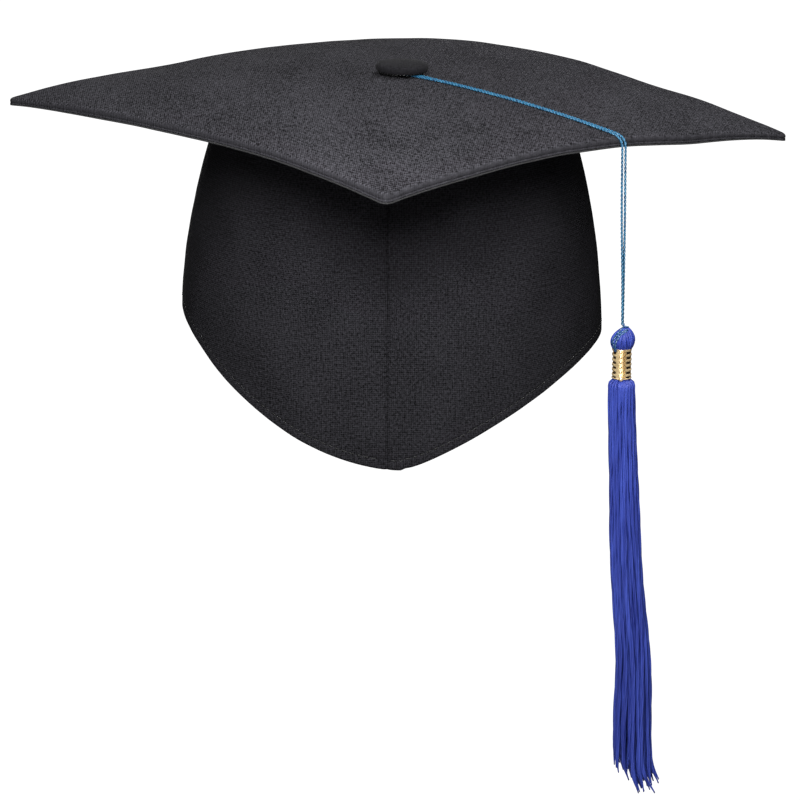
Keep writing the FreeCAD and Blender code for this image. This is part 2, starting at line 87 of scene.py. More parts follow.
CROWN_RADIUS = 92.0 * MM
CROWN_SHIFT = -3.4 * MM
CROWN_BULGE = 310 * MM
WIDE_Z = -13 * MM
PANEL = 1.05 * MM
# How deep each layer starts under the crown's outer face, and how thick it is.
INTERFACING_DEPTH, INTERFACING_THICKNESS = 1.1 * MM, 0.75 * MM
LINING_DEPTH, LINING_THICKNESS = 1.93 * MM, 0.45 * MM
BAND_DEPTH, BAND_THICKNESS = 2.42 * MM, 1.15 * MM
ELASTIC_DEPTH, ELASTIC_THICKNESS = 3.62 * MM, 0.9 * MM
TAPE_DEPTH, TAPE_INSIDE = 2.42 * MM, 3.0 * MM
# Rises above the hem: its stitches, its turned-up edge, and the sweatband's upper edge.
HEM_STITCHES = 4.5 * MM
HEM_TURN = 5.6 * MM
BAND_TOP = 26 * MM
HEM_HALF_WIDTH = 91.8 * MM
HEM_FRONT_DEPTH = 53.3 * MM
HEM_BACK_DEPTH = 40 * MM
# The worn crown hangs unevenly: its front low point is a little to the right, and
# the edge rises from there to each ear by a power of its own.
HEM_LOW_ASIDE = 6.5 * MM
HEM_EARS = {"left": 0.5 * MM, "right": 9.2 * MM}
HEM_POWERS = {"left": 1.9, "right": 1.2}
SEAM_DIP = 0.8 * MM
SEAM_HALF_WIDTH = 0.8 * MM

CORD_DIAMETER = 1.0 * MM
CORD_AZIMUTH = radians(-38.1)
DROP_REACH = 122.7 * MM
# The tassel hangs this far to the right of a plumb line.
HANG_ASIDE = 0.85 * MM

# The tassel's cord, as in the CAD source but let down onto the leaning board:
# (along, aside, height) in metres for one half of the loop, from behind the
# button's shank to the edge, and for one hanging strand, from there to the knot.
LOOP_HALF = [
    (-0.0026, 0.0011, 0.10285),
    (-0.0009, 0.0027, 0.10285),
    (0.0030, 0.0020, 0.10280),
    (0.0080, 0.0012, 0.10265),
    (0.0170, 0.00062, 0.10235),
    (0.0340, 0.00055, 0.10155),
    (0.0620, 0.00060, 0.09948),
    (0.0900, 0.00055, 0.09635),
    (0.1070, 0.00070, 0.09391),
    (0.1144, 0.00085, 0.09275),
    (0.1194, 0.00100, 0.09190),
    (0.1227, 0.00115, 0.08930),
    (0.1227, 0.00110, 0.08240),
]
DROP_HALF = [
    (0.1228, 0.00105, 0.0560),
    (0.12255, 0.00085, 0.0370),
    (0.12240, 0.00070, 0.0220),
    (0.12245, 0.00050, 0.0096),
]


def place(along, aside, height):
    """A point given in the cord's own frame, in the cap's frame."""
    x = along * cos(CORD_AZIMUTH) - aside * sin(CORD_AZIMUTH)
    y = along * sin(CORD_AZIMUTH) + aside * cos(CORD_AZIMUTH)
    return Vector((x, y, height))


# ---------------------------------------------------------------- meshes


class Bundle:
    """Closed tubes, shells and turned shapes that become one mesh."""

    def __init__(self):
        self.points = []
        self.faces = []

    def rings(self, rings, closed=False):
        """Joins equal rings of points into a tube, capped unless it closes on itself."""
        start = len(self.points)
        sides = len(rings[0])
        for ring in rings:
            self.points.extend(ring)
        count = len(rings)
        for index in range(count if closed else count - 1):
            low = start + index * sides
            high = start + (index + 1) % count * sides
            for side in range(sides):
                after = (side + 1) % sides
                self.faces.append((low + side, low + after, high + after, high + side))
        if not closed:
            end = start + (count - 1) * sides
            self.faces.append(tuple(range(start + sides - 1, start - 1, -1)))
            self.faces.append(tuple(range(end, end + sides)))

    def tube(self, path, radii, sides=8):
        """A round tube along a path; radii is one number or one for each point."""
        if not hasattr(radii, "__len__"):
            radii = [radii] * len(path)
        rows = zip(path, frames(path), radii)
        self.rings([circle(point, axes, radius, sides) for point, axes, radius in rows])

    def plied(self, path, radius, plies, pitch, sides=7, swell=None):
        """A rope of twisted plies along an evenly spaced path."""
        ply_radius = radius * (0.62 if plies == 2 else 0.58)
        offset = radius - ply_radius
        step = (path[1] - path[0]).length
        swell = swell or [1.0] * len(path)
        axes = frames(path)
        for ply in range(plies):
            rings = []
            for index, point in enumerate(path):
                turn = 2 * pi * (ply / plies + index * step / pitch)
                middle = point + across_path(axes[index], turn) * offset * swell[index]
                rings.append(circle(middle, axes[index], ply_radius * swell[index], sides))
            self.rings(rings)

    def shell(self, outer, inner, wrap=False):
        """A closed skin between two grids; wrap joins the last column to the first."""
        start = len(self.points)
        rows, columns = len(outer), len(outer[0])
        for row in outer + inner:
            self.points.extend(row)
        under = rows * columns
        last = columns if wrap else columns - 1

        def corner(row, column):
            return start + row * columns + column % columns

        def close(a, b):
            self.faces.append((a, b, under + b, under + a))

        for row in range(rows - 1):
            for column in range(last):
                a, b = corner(row, column), corner(row, column + 1)
                c, d = b + columns, a + columns
                self.faces.append((a, b, c, d))
                self.faces.append((under + a, under + d, under + c, under + b))
        for row in (0, rows - 1):
            for column in range(last):
                close(corner(row, column), corner(row, column + 1))
        if not wrap:
            for column in (0, columns - 1):
                for row in range(rows - 1):
                    close(corner(row, column), corner(row + 1, column))

    def make(self, name, material, outwards=False):
        """The mesh as a smooth object, its faces turned outwards if asked."""
        mesh = bpy.data.meshes.new(name)
        mesh.from_pydata(self.points, [], self.faces)
        mesh.polygons.foreach_set("use_smooth", [True] * len(mesh.polygons))
        mesh.update()
        if outwards:
            work = bmesh.new()
            work.from_mesh(mesh)
            bmesh.ops.recalc_face_normals(work, faces=work.faces)
            work.to_mesh(mesh)
            work.free()
        mesh.materials.append(material)
        piece = bpy.data.objects.new(name, mesh)
        bpy.context.scene.collection.objects.link(piece)
        return piece

    def finish(self, name, material, body, slot, *nodes, outwards=False):
        """A piece that rides on a body and stands for CAD nodes; the slot is not used."""
        piece = self.make(name, material, outwards)
        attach(piece, body)
        if nodes:
            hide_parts(*nodes)
        return piece


def finish_shell(outer, inner, name, material, slot, node, wrap=False):
    """A sheet of the cap between two grids of points."""
    bundle = Bundle()
    bundle.shell(outer, inner, wrap)
    return bundle.finish(name, material, "cap", slot, node, outwards=True)


def shares(steps):
    """Evenly spaced numbers from 0 to 1."""
    return [step / steps for step in range(steps + 1)]


def turns(count):
    """Evenly spaced angles of one full turn."""
    return [2 * pi * step / count for step in range(count)]


def round_point(radius, angle, z=0.0):
    """A point at a distance and an angle from the upright axis."""
    return Vector((radius * cos(angle), radius * sin(angle), z))


def across_path(axes, turn):
    """A direction across a path, from the path's frame at that point."""
    return axes[0] * cos(turn) + axes[1] * sin(turn)


def circle(middle, axes, radius, sides):
    """Points round one place on a path."""
    return [middle + across_path(axes, turn) * radius for turn in turns(sides)]


def frames(path):
    """Two directions across the path at each point, without twist."""
    result = []
    across = None
    for index in range(len(path)):
        before = path[max(index - 1, 0)]
        after = path[min(index + 1, len(path) - 1)]
        along = (after - before).normalized()
        if across is None:
            across = along.orthogonal().normalized()
        across = (across - along * across.dot(along)).normalized()
        result.append((across, along.cross(across)))
    return result


def resample(path, step):
    """Evenly spaced points along a path."""
    lengths = [0.0]
    for before, after in zip(path, path[1:]):
        lengths.append(lengths[-1] + (after - before).length)
    count = max(2, round(lengths[-1] / step) + 1)
    result = []
    index = 0
    for number in range(count):
        target = lengths[-1] * number / (count - 1)
        while index < len(path) - 2 and lengths[index + 1] < target:
            index += 1
        span = lengths[index + 1] - lengths[index]
        share = (target - lengths[index]) / span if span else 0
        result.append(path[index].lerp(path[index + 1], share))
    return result


def bell(value, middle, width):
    """1 in the middle, falling smoothly to 0 on both sides."""
    return exp(-(((value - middle) / width) ** 2))


def smooth_step(value, low, high):
    """0 up to low, 1 from high on, and a smooth rise between them."""
    share = min(1.0, max(0.0, (value - low) / (high - low)))
    return share * share * (3 - 2 * share)


# ---------------------------------------------------------------- materials


def add_node(tree, kind, inputs, **settings):
    """A shader node: its properties set, its inputs filled or linked to sockets."""
    node = tree.nodes.new("ShaderNode" + kind)
    for name, value in settings.items():
        setattr(node, name, value)
    for name, value in inputs.items():
        if isinstance(value, bpy.types.NodeSocket):
            tree.links.new(value, node.inputs[name])
        else:
            node.inputs[name].default_value = value
    return node


def new_material(name, **values):
    material = bpy.data.materials.new(name)
    material.use_nodes = True
    shader = material.node_tree.nodes["Principled BSDF"]
    for key, value in values.items():
        shader.inputs[key.replace("_", " ")].default_value = value
    return material, material.node_tree


def link_surface(material, **sockets):
    """Links sockets to inputs of the material's shader."""
    tree = material.node_tree
    for key, socket in sockets.items():
        tree.links.new(socket, tree.nodes["Principled BSDF"].inputs[key.replace("_", " ")])
    return material


def object_place(tree):
    return add_node(tree, "TexCoord", {}).outputs["Object"]


def round_place(tree, radius):
    """Pattern coordinates on the crown: the distance round the Z axis and the height."""
    split = add_node(tree, "SeparateXYZ", {0: object_place(tree)}).outputs
    angle = add_node(tree, "Math", {0: split["Y"], 1: split["X"]}, operation="ARCTAN2")
    around = add_node(tree, "Math", {0: angle.outputs[0], 1: radius}, operation="MULTIPLY")
    return add_node(tree, "CombineXYZ", {"X": around.outputs[0], "Y": split["Z"]}).outputs[0]


def noise_node(tree, where, scale, detail=2.0, roughness=0.5):
    values = {"Vector": where, "Scale": scale, "Detail": detail, "Roughness": roughness}
    return add_node(tree, "TexNoise", values).outputs["Fac"]


def bands(tree, where, pitch, direction):
    """Thread ridges at a pitch in metres, across X or Y."""
    # A wave texture repeats 20 times in 2 pi units at a scale of 1.
    scale = 2 * pi / (20 * pitch)
    values = {"Vector": where, "Scale": scale, "Distortion": 0.6, "Detail Scale": 2.0}
    return add_node(tree, "TexWave", values, bands_direction=direction).outputs["Fac"]


def mix_values(tree, first, second, amount):
    values = {"Factor": amount, "A": first, "B": second}
    return add_node(tree, "Mix", values, data_type="RGBA").outputs["Result"]


def relief(tree, height, strength, distance):
    """A surface direction bumped by a height."""
    values = {"Height": height, "Strength": strength, "Distance": distance}
    return add_node(tree, "Bump", values).outputs["Normal"]


def ramp(tree, value, *stops):
    """A colour for each value, from (place, (r, g, b)) stops."""
    node = tree.nodes.new("ShaderNodeValToRGB")
    elements = node.color_ramp.elements
    while len(elements) < len(stops):
        elements.new(0.5)
    for element, (where, colour) in zip(elements, stops):
        element.position = where
        element.color = (*colour, 1)
    tree.links.new(value, node.inputs["Fac"])
    return node.outputs["Color"]


def grey(value, tint=0.0):
    """A dark cloth colour, a little violet by its tint."""
    return (value * (1 + 0.5 * tint), value, value * (1 + 2.8 * tint))


def calm_sides(tree, value):
    """Evens a pattern out where flat cloth turns down over an edge."""
    normal = add_node(tree, "NewGeometry", {}).outputs["Normal"]
    height = add_node(tree, "SeparateXYZ", {0: normal}).outputs["Z"]
    upright = add_node(tree, "Math", {0: height}, operation="ABSOLUTE").outputs[0]
    share = ramp(tree, upright, (0.35, (0.3,) * 3), (0.92, (1,) * 3))
    return add_node(tree, "Mix", {"Factor": share, "A": 0.5, "B": value}).outputs["Result"]


def woven(
    name, dark, light, pitch, fleck, bump, turn=0.0, around=0.0, roughness=0.92, sheen=0.2,
    span=(0.36, 0.66), stretch=1.0,
):
    """Plain weave with flecks and slow patches; pitch, fleck and bump in millimetres."""
    pitch, fleck, bump = pitch * MM, fleck * MM, bump * MM
    material, tree = new_material(
        name, Roughness=roughness, Sheen_Weight=sheen, Sheen_Roughness=0.45, Specular_IOR_Level=0.04
    )
    where = round_place(tree, around) if around else object_place(tree)
    if turn:
        values = {"Vector": where, "Rotation": (0, 0, turn), "Scale": (1, 1 / stretch, 1)}
        where = add_node(tree, "Mapping", values).outputs["Vector"]
    warp = bands(tree, where, pitch, "X")
    weft = bands(tree, where, pitch * 1.07, "Y")
    threads = mix_values(tree, warp, weft, 0.5)
    specks = noise_node(tree, where, 1 / fleck, 3.0, 0.65)
    patches = noise_node(tree, where, 38.0)
    tone = mix_values(tree, specks, threads, 0.22)
    tone = mix_values(tree, tone, patches, 0.12)
    height = mix_values(tree, specks, threads, 0.5)
    if not around:
        tone = calm_sides(tree, tone)
        height = calm_sides(tree, height)
    middle = tuple((a + b) / 2 for a, b in zip(dark, light))
    colour = ramp(tree, tone, (span[0], dark), (sum(span) / 2, middle), (span[1], light))
    return link_surface(material, Base_Color=colour, Normal=relief(tree, height, 0.9, bump))


def yarn(name, dark, light, across, roughness, sheen=0.0, specular=0.5):
    """Satin fibres: fine lengthwise streaks and a slow change of tone."""
    material, tree = new_material(
        name, Roughness=roughness, Sheen_Weight=sheen, Sheen_Roughness=0.3,
        Specular_IOR_Level=specular,
    )
    values = {"Vector": object_place(tree), "Scale": across}
    where = add_node(tree, "Mapping", values).outputs["Vector"]
    streaks = noise_node(tree, where, 1.0, 3.0, 0.6)
    fibres = noise_node(tree, where, 4.5, 2.0, 0.6)
    tone = mix_values(tree, streaks, fibres, 0.35)
    colour = ramp(tree, tone, (0.34, dark), (0.66, light))
    return link_surface(material, Base_Color=colour, Normal=relief(tree, fibres, 0.5, 0.12 * MM))


def gilt(name, dull, bright):
    """Thin pressed brass with faint handling marks and dull hollows."""
    material, tree = new_material(name, Metallic=0.72)
    where = object_place(tree)
    marks = noise_node(tree, where, 900.0, 4.0, 0.7)
    cloud = noise_node(tree, where, 160.0)
    tone = mix_values(tree, marks, cloud, 0.5)
    colour = ramp(tree, tone, (0.3, dull), (0.62, bright))
    rough = ramp(tree, marks, (0.3, (0.18,) * 3), (0.7, (0.34,) * 3))
    normal = relief(tree, cloud, 0.35, 0.1 * MM)
    return link_surface(material, Base_Color=colour, Roughness=rough, Normal=normal)


def plain_stuff(name, dark, light, scale, roughness, metallic=0.0):
    """Card, wadding, plastic and pressed metal: mottled tone and fine relief."""
    material, tree = new_material(name, Metallic=metallic)
    grain = noise_node(tree, object_place(tree), scale, 4.0, 0.6)
    colour = ramp(tree, grain, (0.35, dark), (0.65, light))
    rough = ramp(tree, grain, (0.3, (roughness - 0.08,) * 3), (0.7, (roughness + 0.08,) * 3))
    normal = relief(tree, grain, 0.5, 0.05 * MM)
    return link_surface(material, Base_Color=colour, Roughness=rough, Normal=normal)


BOARD_CLOTH = woven(
    "board_cloth", grey(0.002, 0.055), grey(0.040, 0.055), 0.8, 0.95, 0.7,
    turn=radians(-14), sheen=0.0, span=(0.38, 0.64), stretch=2.3,
)
BUTTON_CLOTH = woven(
    "button_cloth", grey(0.001, 0.04), grey(0.014, 0.06), 0.7, 0.9, 0.12,
    sheen=0.012,
)
UNDER_CLOTH = woven(
    "under_cloth", grey(0.008), grey(0.03, 0.02), 0.7, 0.9, 0.3, turn=pi / 4,
    sheen=0.05,
)
CROWN_CLOTH = woven(
    "crown_cloth", grey(0.001, 0.05), grey(0.021, 0.06), 0.8, 1.1, 0.3,
    around=CROWN_RADIUS, sheen=0.0,
)
LINING_CLOTH = woven(
    "lining_cloth", grey(0.014, 0.02), grey(0.030, 0.03), 0.5, 1.6, 0.08,
    around=CROWN_RADIUS, roughness=0.5, sheen=0.1,
)
BAND_CLOTH = woven(
    "band_cloth", grey(0.022), grey(0.055), 0.9, 0.7, 0.3,
    around=CROWN_RADIUS, sheen=0.4,
)
TAPE_CLOTH = woven(
    "tape_cloth", grey(0.02), grey(0.06), 0.7, 1.2, 0.2, around=CROWN_RADIUS
)
ELASTIC_CLOTH = woven(
    "elastic_cloth", grey(0.012), grey(0.04), 0.6, 1.0, 0.25,
    around=CROWN_RADIUS, roughness=0.7,
)
INTERFACING = woven(
    "interfacing", grey(0.035), grey(0.07), 0.8, 1.0, 0.2, around=CROWN_RADIUS
)
THREAD = yarn(
    "thread", grey(0.003), grey(0.014), (900, 900, 900), roughness=0.6, sheen=0.2, specular=0.3
)
# Near-black brown for the inside of the sleeve seen through its slots: painted shade.
PAINTED_SLOT_SHADE = yarn(
    "painted_slot_shade", (0.004, 0.002, 0.001), (0.016, 0.010, 0.006), (900, 900, 900),
    roughness=0.7, specular=0.2,
)
CORD_BLUE = yarn(
    "cord_blue", (0.002, 0.023, 0.066), (0.020, 0.112, 0.19), (900, 900, 260),
    roughness=0.4, specular=0.35,
)
# The tassel cord's blue made darker for the wraps round the head: painted shade.
CORD_BLUE_PAINTED_SHADE = yarn(
    "cord_blue_painted_shade", (0.002, 0.014, 0.06), (0.014, 0.070, 0.16), (900, 900, 260),
    roughness=0.36,
)
YARN_BLUE = yarn(
    "yarn_blue", (0.005, 0.010, 0.105), (0.028, 0.048, 0.264), (620, 620, 22),
    roughness=0.5, specular=0.25,
)
BRASS = gilt("ferrule_brass", (0.50, 0.34, 0.15), (0.86, 0.67, 0.38))
# The sleeve's brass made darker for the scrolls: painted shade of the pressed relief.
SCROLL_BRASS_PAINTED_SHADE = gilt("scroll_brass_painted_shade", (0.20, 0.10, 0.03), (0.62, 0.40, 0.14))
WADDING = plain_stuff("wadding", (0.48,) * 3, (0.72,) * 3, 900.0, 0.9)
CARD = plain_stuff("card", (0.34, 0.30, 0.24), (0.48, 0.44, 0.36), 1400.0, 0.85)
STEEL = plain_stuff("button_metal", (0.45,) * 3, (0.62,) * 3, 1200.0, 0.35, metallic=1.0)
PLASTIC = plain_stuff("washer_plastic", (0.012,) * 3, (0.025,) * 3, 1500.0, 0.45)


def dress_cad_nodes():
    """Hard pieces that keep their CAD shape and get a finish."""
    finishes = {
        "button_shell": STEEL,
        "button_back_plate": STEEL,
        "button_shank": THREAD,
        "button_washer": PLASTIC,
    }
    for node, material in finishes.items():
        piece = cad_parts[node]
        piece.data.materials.clear()
        piece.data.materials.append(material)


# ---------------------------------------------------------------- camera, stage, light

CAMERA_AZIMUTH = radians(1.41)
CAMERA_ELEVATION = radians(13.31)
CAMERA_DISTANCE = 3.25
CAMERA_ROLL = radians(0.75)
AIM_ASIDE = 1.0 * MM
AIM_DROP = 145.1 * MM
LENS = 333.4
# Brightness of the white backdrop, and of the light that it gives to the object.
BACKDROP = 1.1
SOFT_LIGHT = 0.15


def make_camera():
    turn, rise = CAMERA_AZIMUTH, CAMERA_ELEVATION
    back = Vector((sin(turn) * cos(rise), -cos(turn) * cos(rise), sin(rise)))
    data = bpy.data.cameras.new("camera")
    data.lens = LENS
    data.sensor_width = 36
    data.clip_end = 50
    camera = bpy.data.objects.new("camera", data)
    bpy.context.scene.collection.objects.link(camera)
    aim = Vector((AIM_ASIDE, 0, BOARD_TOP - AIM_DROP))
    turned = back.to_track_quat("Z", "Y").to_matrix().to_4x4()
    roll = Matrix.Rotation(CAMERA_ROLL, 4, "Z")
    camera.matrix_world = Matrix.Translation(aim + back * CAMERA_DISTANCE) @ turned @ roll
    bpy.context.scene.camera = camera


def area_light(name, place_at, aim, size, power):
    data = bpy.data.lights.new(name, "AREA")
    data.shape = "DISK"
    data.size = size
    data.energy = power
    light = bpy.data.objects.new(name, data)
    bpy.context.scene.collection.objects.link(light)
    light.location = place_at
    direction = Vector(place_at) - Vector(aim)
    light.rotation_euler = direction.to_track_quat("Z", "Y").to_euler()


def make_world():
    """Bright backdrop for the camera, soft grey light for the object."""
    world = bpy.data.worlds.new("studio")
    world.use_nodes = True
    tree = world.node_tree
    tree.nodes.clear()
    white = (1, 1, 1, 1)
    seen = add_node(tree, "Background", {"Color": white, "Strength": BACKDROP}).outputs[0]
    soft = add_node(tree, "Background", {"Color": white, "Strength": SOFT_LIGHT}).outputs[0]
    camera_ray = add_node(tree, "LightPath", {}).outputs["Is Camera Ray"]
    mixed = add_node(tree, "MixShader", {"Fac": camera_ray, 1: soft, 2: seen}).outputs[0]
    add_node(tree, "OutputWorld", {"Surface": mixed})
    bpy.context.scene.world = world
    bpy.context.scene.view_settings.view_transform = "Standard"


FLOOR = -0.85
FLOOR_RADIUS = 1.15


def make_stage():
    """A pale round floor, well below the hanging tassel, that fades out at its rim."""
    material, tree = new_material("floor", Roughness=0.9)
    where = object_place(tree)
    grain = noise_node(tree, where, 60.0)
    colour = ramp(tree, grain, (0.3, (0.86,) * 3), (0.7, (0.9,) * 3))
    flat = add_node(tree, "VectorMath", {0: where, 1: (1, 1, 0)}, operation="MULTIPLY")
    length = add_node(tree, "VectorMath", {0: flat.outputs[0]}, operation="LENGTH")
    solid = ramp(tree, length.outputs["Value"], (0.45, (1,) * 3), (1.0, (0,) * 3))
    link_surface(material, Base_Color=colour, Alpha=solid)
    steps = 72
    bundle = Bundle()
    bundle.points = [round_point(FLOOR_RADIUS, turn, FLOOR) for turn in turns(steps)]
    bundle.faces = [tuple(range(steps))]
    bundle.make("floor", material)


def make_lights():
    area_light("key", (-0.15, -0.9, 2.3), (0, 0, 0), 1.5, 24)
    area_light("over_right", (0.36, -0.08, 0.75), (0.04, 0, 0.08), 0.4, 3.9)
    area_light("right_back", (0.8, 0.9, 1.8), (0, 0, 0.05), 0.9, 10)
    area_light("front", (0.0, -0.56, 0.36), (0, 0, 0.05), 0.3, 9.8)
    area_light("low_front", (-0.2, -2.2, -0.6), (0, 0, -0.02), 1.1, 12.5)
    area_light("back", (-0.3, 2.3, -0.15), (0, 0, 0), 1.0, 11)


# ---------------------------------------------------------------- board


def board_lift(x, y):
    """How far the worn board stands off its plain dome: lean, twist, dents and ripples."""
    x -= BOARD_SHIFT
    twist = -LEAN * x / BOARD_REACH - TWIST * (x / BOARD_REACH) ** 3
    for dent in DENTS_MM:
        dent_x, dent_y, width, height = [value * MM for value in dent]
        away = (x - dent_x) ** 2 + (y - dent_y) ** 2
        twist += height * exp(-away / width**2)
    edge = (abs(x) + abs(y)) / BOARD_REACH
    free_x = x + BOARD_SHIFT
    along = free_x * cos(CORD_AZIMUTH) + y * sin(CORD_AZIMUTH)
    aside = -free_x * sin(CORD_AZIMUTH) + y * cos(CORD_AZIMUTH)
    by_cord = bell(aside, 0, 22 * MM) if along > 0 else 0.0
    by_button = exp(-((x * x + y * y) / 0.03**2))
    calm = (1 - by_cord) * (1 - by_button)
    ripple = noise.noise(Vector((x * 17, y * 17, 0.4))) * edge**2
    ripple += 0.35 * noise.noise(Vector((x * 55, y * 55, 3.1)))
    return twist + RIPPLE * ripple * calm


def board_height(x, y, depth):
    # The worn side corners are pressed thinner than the rest.
    depth *= 1 - 0.32 * smooth_step(abs(x), 125 * MM, 165 * MM)
    inside = (DOME_RADIUS - depth) ** 2 - x * x - y * y
    return BOARD_TOP - DOME_RADIUS + sqrt(inside) + board_lift(x, y)


def board_outline(inset, per_side=56, per_corner=8):
    """Points round the square, its corners on the axes, moved in by an inset."""
    half = BOARD_SIDE / 2 - inset
    corner = min(half, max(BOARD_CORNER - inset, PASSAGE_RADIUS))
    straight = half - corner
    quarter = [(half, -straight + 2 * straight * step / per_side) for step in range(per_side)]
    for step in range(per_corner):
        angle = pi / 2 * step / per_corner
        quarter.append((straight + corner * cos(angle), straight + corner * sin(angle)))
    points = []
    for number in range(4):
        turn = number * pi / 2 + pi / 4
        c, s = cos(turn), sin(turn)
        points += [(x * c - y * s, x * s + y * c) for x, y in quarter]
    return points


def board_layer(name, section, material, node, slot="black_cloth"):
    """A closed layer: its section of (inset, depth) points taken round the outline."""
    rings = []
    for inset, depth in section:
        # The passage stays round the shank, while the rim moves with the board.
        aside = BOARD_SHIFT * smooth_step(-inset, -0.105, -0.04)
        outline = [(x + aside, y) for x, y in board_outline(inset)]
        rings.append([(x, y, board_height(x, y, depth)) for x, y in outline])
    bundle = Bundle()
    bundle.rings(rings, closed=True)
    bundle.finish(name, material, "cap", slot, node, outwards=True)


def level(first, depth, inwards=True, steps=44):
    """A level line of (inset, depth) points, from near the rim to the passage or back."""
    last = BOARD_SIDE / 2 - PASSAGE_RADIUS
    line = [(first + (last - first) * share**1.25, depth) for share in shares(steps)]
    return line if inwards else line[::-1]


def round_edge(inset, depth, radius, first, last, steps=6):
    """Part of a circle about (inset, depth), from one angle to another in degrees."""
    section = []
    for step in range(steps + 1):
        angle = radians(first + (last - first) * step / steps)
        section.append((inset - radius * cos(angle), depth - radius * sin(angle)))
    return section


def make_board():
    gap = 0.03 * MM
    edge = 1.5 * MM
    skin = 0.6 * MM
    rim = edge + 0.8 * MM
    inner_rim = 2.0 * MM
    # The side tucks in over a seam, then the cloth's folded lip stands out again.
    lip = [
        (0.05, 2.3), (0.2, 2.6), (0.3, 2.75), (0.2, 2.9), (0.06, 3.15), (0.05, 3.5), (0.25, 3.7),
    ]
    top = level(rim, 0.0, inwards=False) + round_edge(edge, edge, edge, 90, 0)
    top += [(inset * MM, depth * MM) for inset, depth in lip]
    top += [(0.7 * MM, UNDER_DEPTH - gap), (0.95 * MM, 3.4 * MM), (0.95 * MM, edge)]
    top += round_edge(edge, edge, edge - skin, 0, 90, 4) + level(rim, skin)
    board_layer("board_top_cloth", top, BOARD_CLOTH, "board_top_cover")

    wadding = level(inner_rim, WADDING_DEPTH, inwards=False, steps=20)
    wadding += [(1.1 * MM, 1.2 * MM), (1.0 * MM, CARD_DEPTH - gap)]
    wadding += level(inner_rim, CARD_DEPTH - gap, steps=20)
    board_layer("board_wadding", wadding, WADDING, "board_padding", slot="wadding")

    card = level(inner_rim, CARD_DEPTH, inwards=False, steps=20)
    card += [(1.0 * MM, CARD_DEPTH), (1.0 * MM, UNDER_DEPTH - gap)]
    card += level(inner_rim, UNDER_DEPTH - gap, steps=20)
    board_layer("board_card", card, CARD, "board_core", slot="card")

    middle = (UNDER_DEPTH + BOARD_THICKNESS) / 2
    half = (BOARD_THICKNESS - UNDER_DEPTH) / 2
    under = level(inner_rim, UNDER_DEPTH, inwards=False) + round_edge(half, middle, half, 90, -90)
    under += level(inner_rim, BOARD_THICKNESS)
    board_layer("board_under_cloth", under, UNDER_CLOTH, "board_bottom_cover", "underside_cloth")


# ---------------------------------------------------------------- crown

FRONT = -pi / 2
BACK = pi / 2


def hem_height(x, y):
    """Height of the crown's lower edge."""
    side = "right" if x > HEM_LOW_ASIDE else "left"
    end = HEM_HALF_WIDTH if side == "right" else -HEM_HALF_WIDTH
    share = min(1.0, (x - HEM_LOW_ASIDE) / (end - HEM_LOW_ASIDE))
    front = sqrt(share * share + 0.0016) ** HEM_POWERS[side]
    depth, rising = (HEM_FRONT_DEPTH, front) if y < 0 else (HEM_BACK_DEPTH, share**2)
    ear = HEM_EARS[side]
    return -ear - (depth - ear) * (1 - min(1.0, rising))


def crown_distance(z, depth):
    """The plain crown's distance from its axis, at a depth under the outer face."""
    return CROWN_RADIUS - CROWN_BULGE + sqrt((CROWN_BULGE - depth) ** 2 - (z - WIDE_Z) ** 2)


def seam_distance(theta):
    """Distance round the crown from the nearer of the two seams."""
    turn = abs((theta - FRONT + pi) % (2 * pi) - pi)
    return CROWN_RADIUS * min(turn, pi - turn)


def crown_ends(theta, depth):
    """Heights of the hem and of the board's underside on one upright line."""
    low, high = -50 * MM, 90 * MM
    for _ in range(4):
        low_reach = crown_distance(low, depth)
        high_reach = crown_distance(high, depth)
        low = hem_height(low_reach * cos(theta), low_reach * sin(theta))
        high = board_height(high_reach * cos(theta), high_reach * sin(theta), BOARD_THICKNESS)
    return low, high


def crown_relief(theta, z, rise):
    """How far the soft cloth stands in or out, the same for every layer."""
    around = Vector((cos(theta), sin(theta), z / CROWN_RADIUS))
    slack = 0.35 + 0.65 * exp(-rise / 0.03)
    soft = 0.75 * MM * noise.noise(around * 2.6 + Vector((4.0, 1.0, 0.0))) * slack
    soft += 0.16 * MM * noise.noise(around * 9.0)
    return soft


def crown_point(theta, rise, depth, dip=True, ends=None):
    """A point of a crown layer: rise above the hem, depth under the outer face."""
    low, high = ends or crown_ends(theta, depth)
    z = low + rise
    reach = crown_distance(z, depth) + crown_relief(theta, z, rise)
    if dip:
        away = seam_distance(theta)
        pucker = 1 + 0.5 * noise.noise(Vector((0.0, 0.0, z * 160)))
        reach -= SEAM_DIP * pucker * bell(away, 0, SEAM_HALF_WIDTH)
        reach += 0.15 * MM * bell(away, 4.2 * MM, 2.0 * MM)
    x = reach * cos(theta) + CROWN_SHIFT
    y = reach * sin(theta)
    share = max(0.0, (high - z) / (high - low))
    if y < 0:
        x += 1.6 * MM * share * bell(x, 0, 30 * MM)
        x += 0.35 * MM * noise.noise(Vector((0.0, 1.0, z * 30))) * bell(x, 0, 9 * MM)
    return (x, y, z)


def half_angles(side):
    """Angles across one half of the crown, closer together beside the seams."""
    near = [0.0, 0.35, 0.75, 1.2, 1.8, 2.5, 3.4, 4.5, 6.0, 8.0]
    near = [step * MM / CROWN_RADIUS for step in near]
    steps = 88
    middle = [near[-1] + (pi - 2 * near[-1]) * step / steps for step in range(1, steps)]
    sign = 1 if side == "right" else -1
    return [FRONT + sign * turn for turn in near + middle + [pi - n for n in reversed(near)]]


def crown_rows(low_rises, steps):
    """(rise, share) pairs: fixed rises near the hem, then shares of what is left."""
    rows = [(rise, 0.0) for rise in low_rises]
    rows += [(low_rises[-1], step / steps) for step in range(1, steps + 1)]
    return rows


